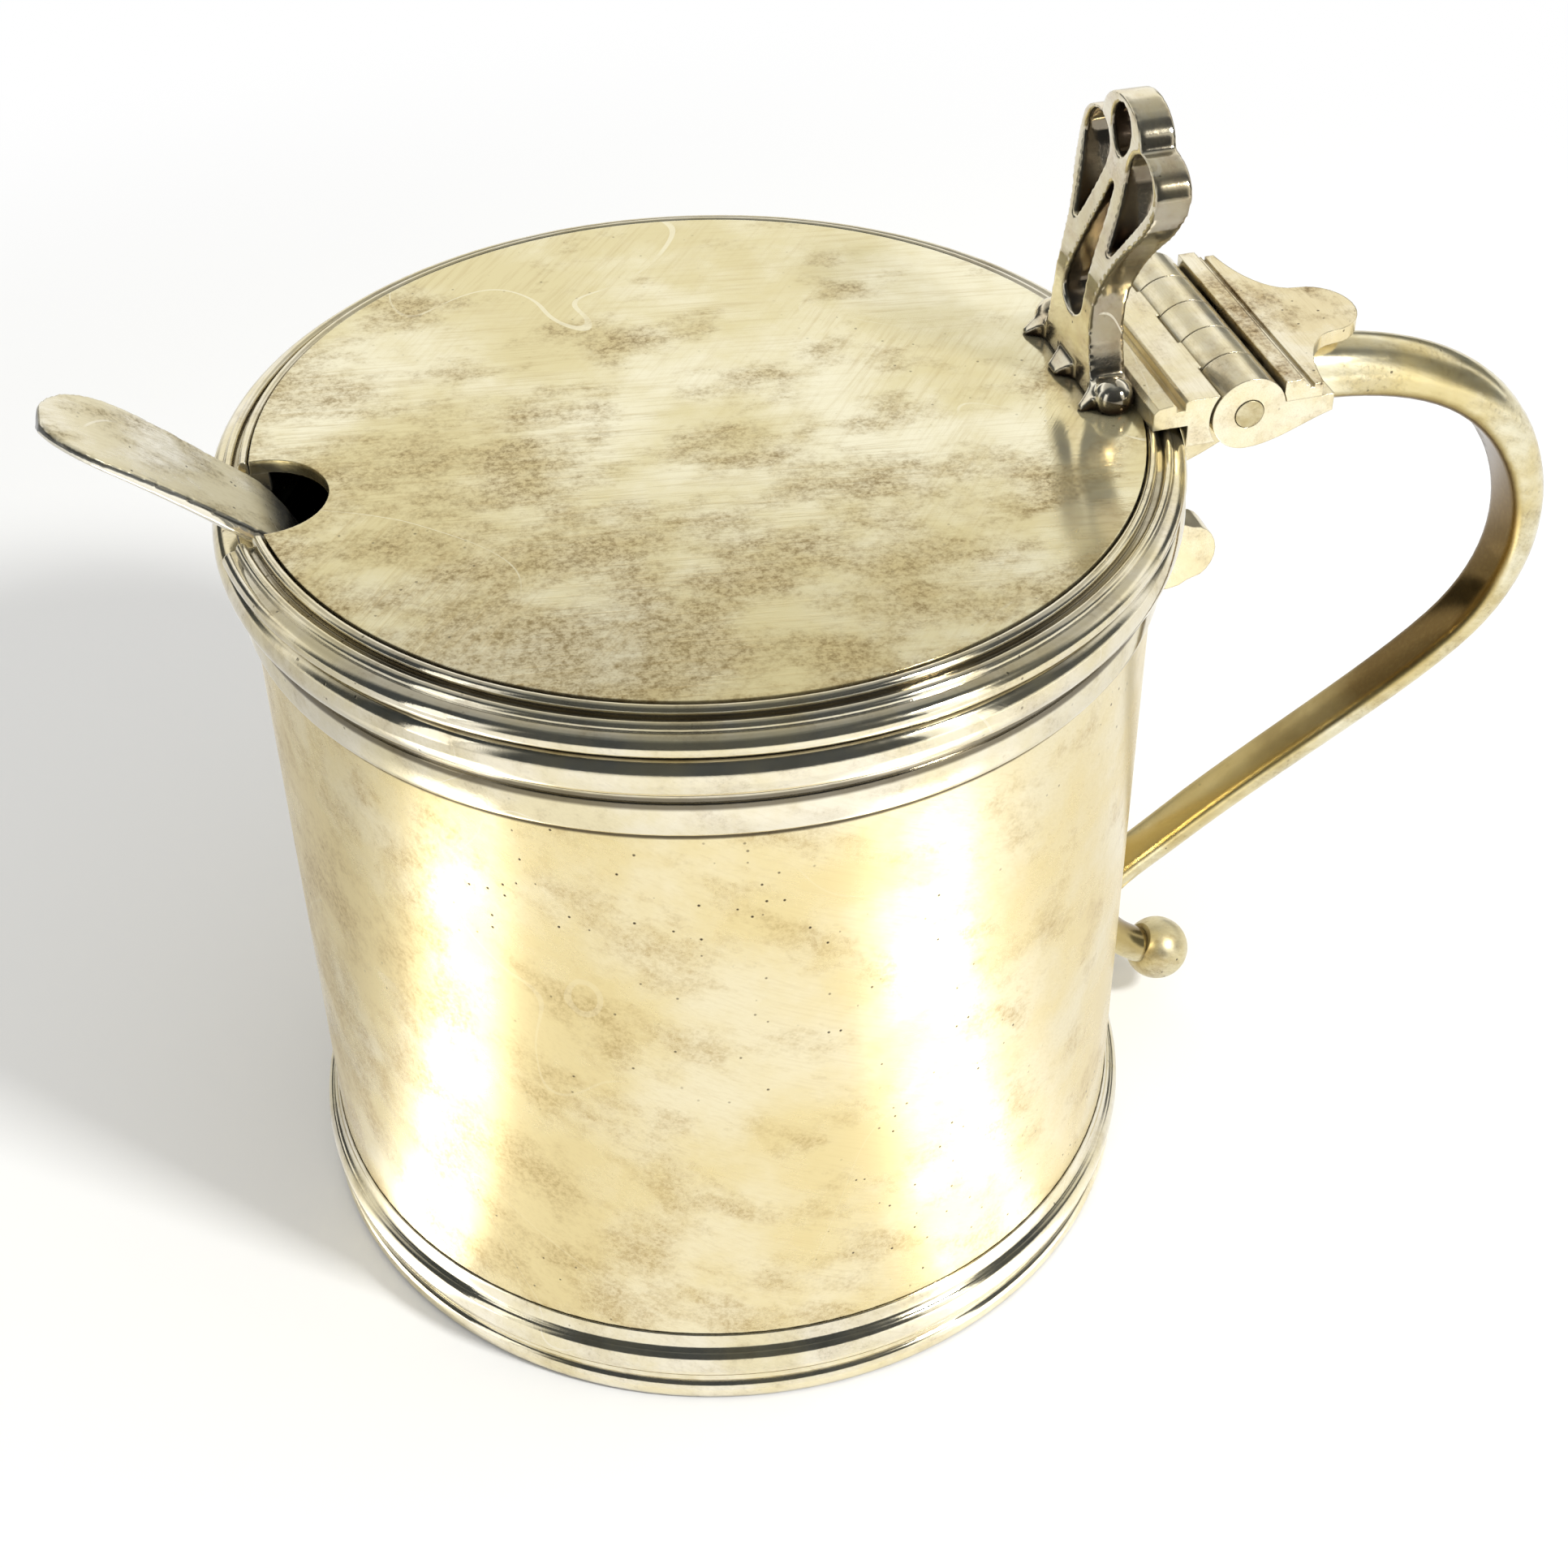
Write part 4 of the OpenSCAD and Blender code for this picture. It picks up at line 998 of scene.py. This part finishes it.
    def lay_floor(self) -> None:
        """A plain pale floor that takes the pot's shadow and runs into the white surround far off."""
        half = self.floor_half_mm * MM
        mesh = bpy.data.meshes.new("floor")
        corners = [(-half, -half, 0), (half, -half, 0), (half, half, 0), (-half, half, 0)]
        mesh.from_pydata(corners, [], [(0, 1, 2, 3)])
        floor = bpy.data.objects.new("floor", mesh)
        material, tree = new_material("pale_floor")
        place = add(tree, "ShaderNodeTexCoord").outputs["Object"]
        radius = add(tree, "ShaderNodeVectorMath", {0: place}, operation="LENGTH").outputs[1]
        away = add(tree, "ShaderNodeMapRange", {
            "Value": radius, "From Min": self.floor_fade_mm[0] * MM, "From Max": self.floor_fade_mm[1] * MM,
        }, interpolation_type="SMOOTHSTEP").outputs[0]
        seen = add(tree, "ShaderNodeLightPath").outputs["Is Camera Ray"]
        away = add(tree, "ShaderNodeMath", {0: away, 1: seen}, operation="MULTIPLY").outputs[0]
        near = add(tree, "ShaderNodeBsdfDiffuse", {"Color": linear(self.floor)}).outputs[0]
        far = add(tree, "ShaderNodeEmission", {"Color": linear(WHITE), "Strength": 1.0}).outputs[0]
        shader = add(tree, "ShaderNodeMixShader", {0: away, 1: near, 2: far})
        add(tree, "ShaderNodeOutputMaterial", {"Surface": shader.outputs[0]})
        mesh.materials.append(material)
        bpy.context.scene.collection.objects.link(floor)

    def lay_glow(self) -> None:
        """Give polished metal a floor with soft light and dark places to mirror."""
        points, faces = [], []
        lift = self.glow_lift_mm * MM
        for i in range(self.glow_steps):
            a = 2 * math.pi * i / self.glow_steps
            points += [(r * MM * math.cos(a), r * MM * math.sin(a), lift) for r in self.glow_mm]
            j = (i + 1) % self.glow_steps
            faces.append((2 * i, 2 * i + 1, 2 * j + 1, 2 * j))
        mesh = bpy.data.meshes.new("floor_glow")
        mesh.from_pydata(points, [], faces)
        glow = bpy.data.objects.new("floor_glow", mesh)
        material, tree = new_material("floor_glow")
        place = add(tree, "ShaderNodeTexCoord").outputs["Object"]
        turn = self.share_of_turn(tree, place)
        near, far = (
            add(tree, "ShaderNodeValToRGB", {0: turn}, stops).outputs[0]
            for stops in (self.glow_near, self.glow_far)
        )
        radius = add(tree, "ShaderNodeVectorMath", {0: place}, operation="LENGTH").outputs[1]
        away = add(tree, "ShaderNodeMapRange", {
            "Value": radius, "From Min": self.glow_fade_mm[0] * MM, "From Max": self.glow_fade_mm[1] * MM,
        }, interpolation_type="SMOOTHSTEP").outputs[0]
        level = add(tree, "ShaderNodeMix", {"Factor": away, 6: near, 7: far}, data_type="RGBA").outputs[2]
        shader = add(tree, "ShaderNodeEmission", {"Color": level, "Strength": self.glow_gain})
        add(tree, "ShaderNodeOutputMaterial", {"Surface": shader.outputs[0]})
        mesh.materials.append(material)
        bpy.context.scene.collection.objects.link(glow)
        glow.visible_camera = glow.visible_diffuse = glow.visible_shadow = glow.visible_transmission = False

    def build(self) -> None:
        """Set up everything round the pot."""
        self.set_camera()
        self.set_surround()
        self.hang_curtain()
        self.lay_floor()
        self.lay_glow()
        target = Vector(self.target_mm) * MM
        for lamp in self.lamps:
            lamp.hang(target)
        bpy.context.scene.view_settings.view_transform = "Standard"


def main() -> None:
    """Dress the pot and set up the studio."""
    logging.basicConfig(level=logging.INFO, format="%(name)s: %(message)s")
    for group in (Drum(), HingeAndHandle(), Lid(), Spoon()):
        group.dress()
    Studio().build()


if __name__ == "__main__":
    main()
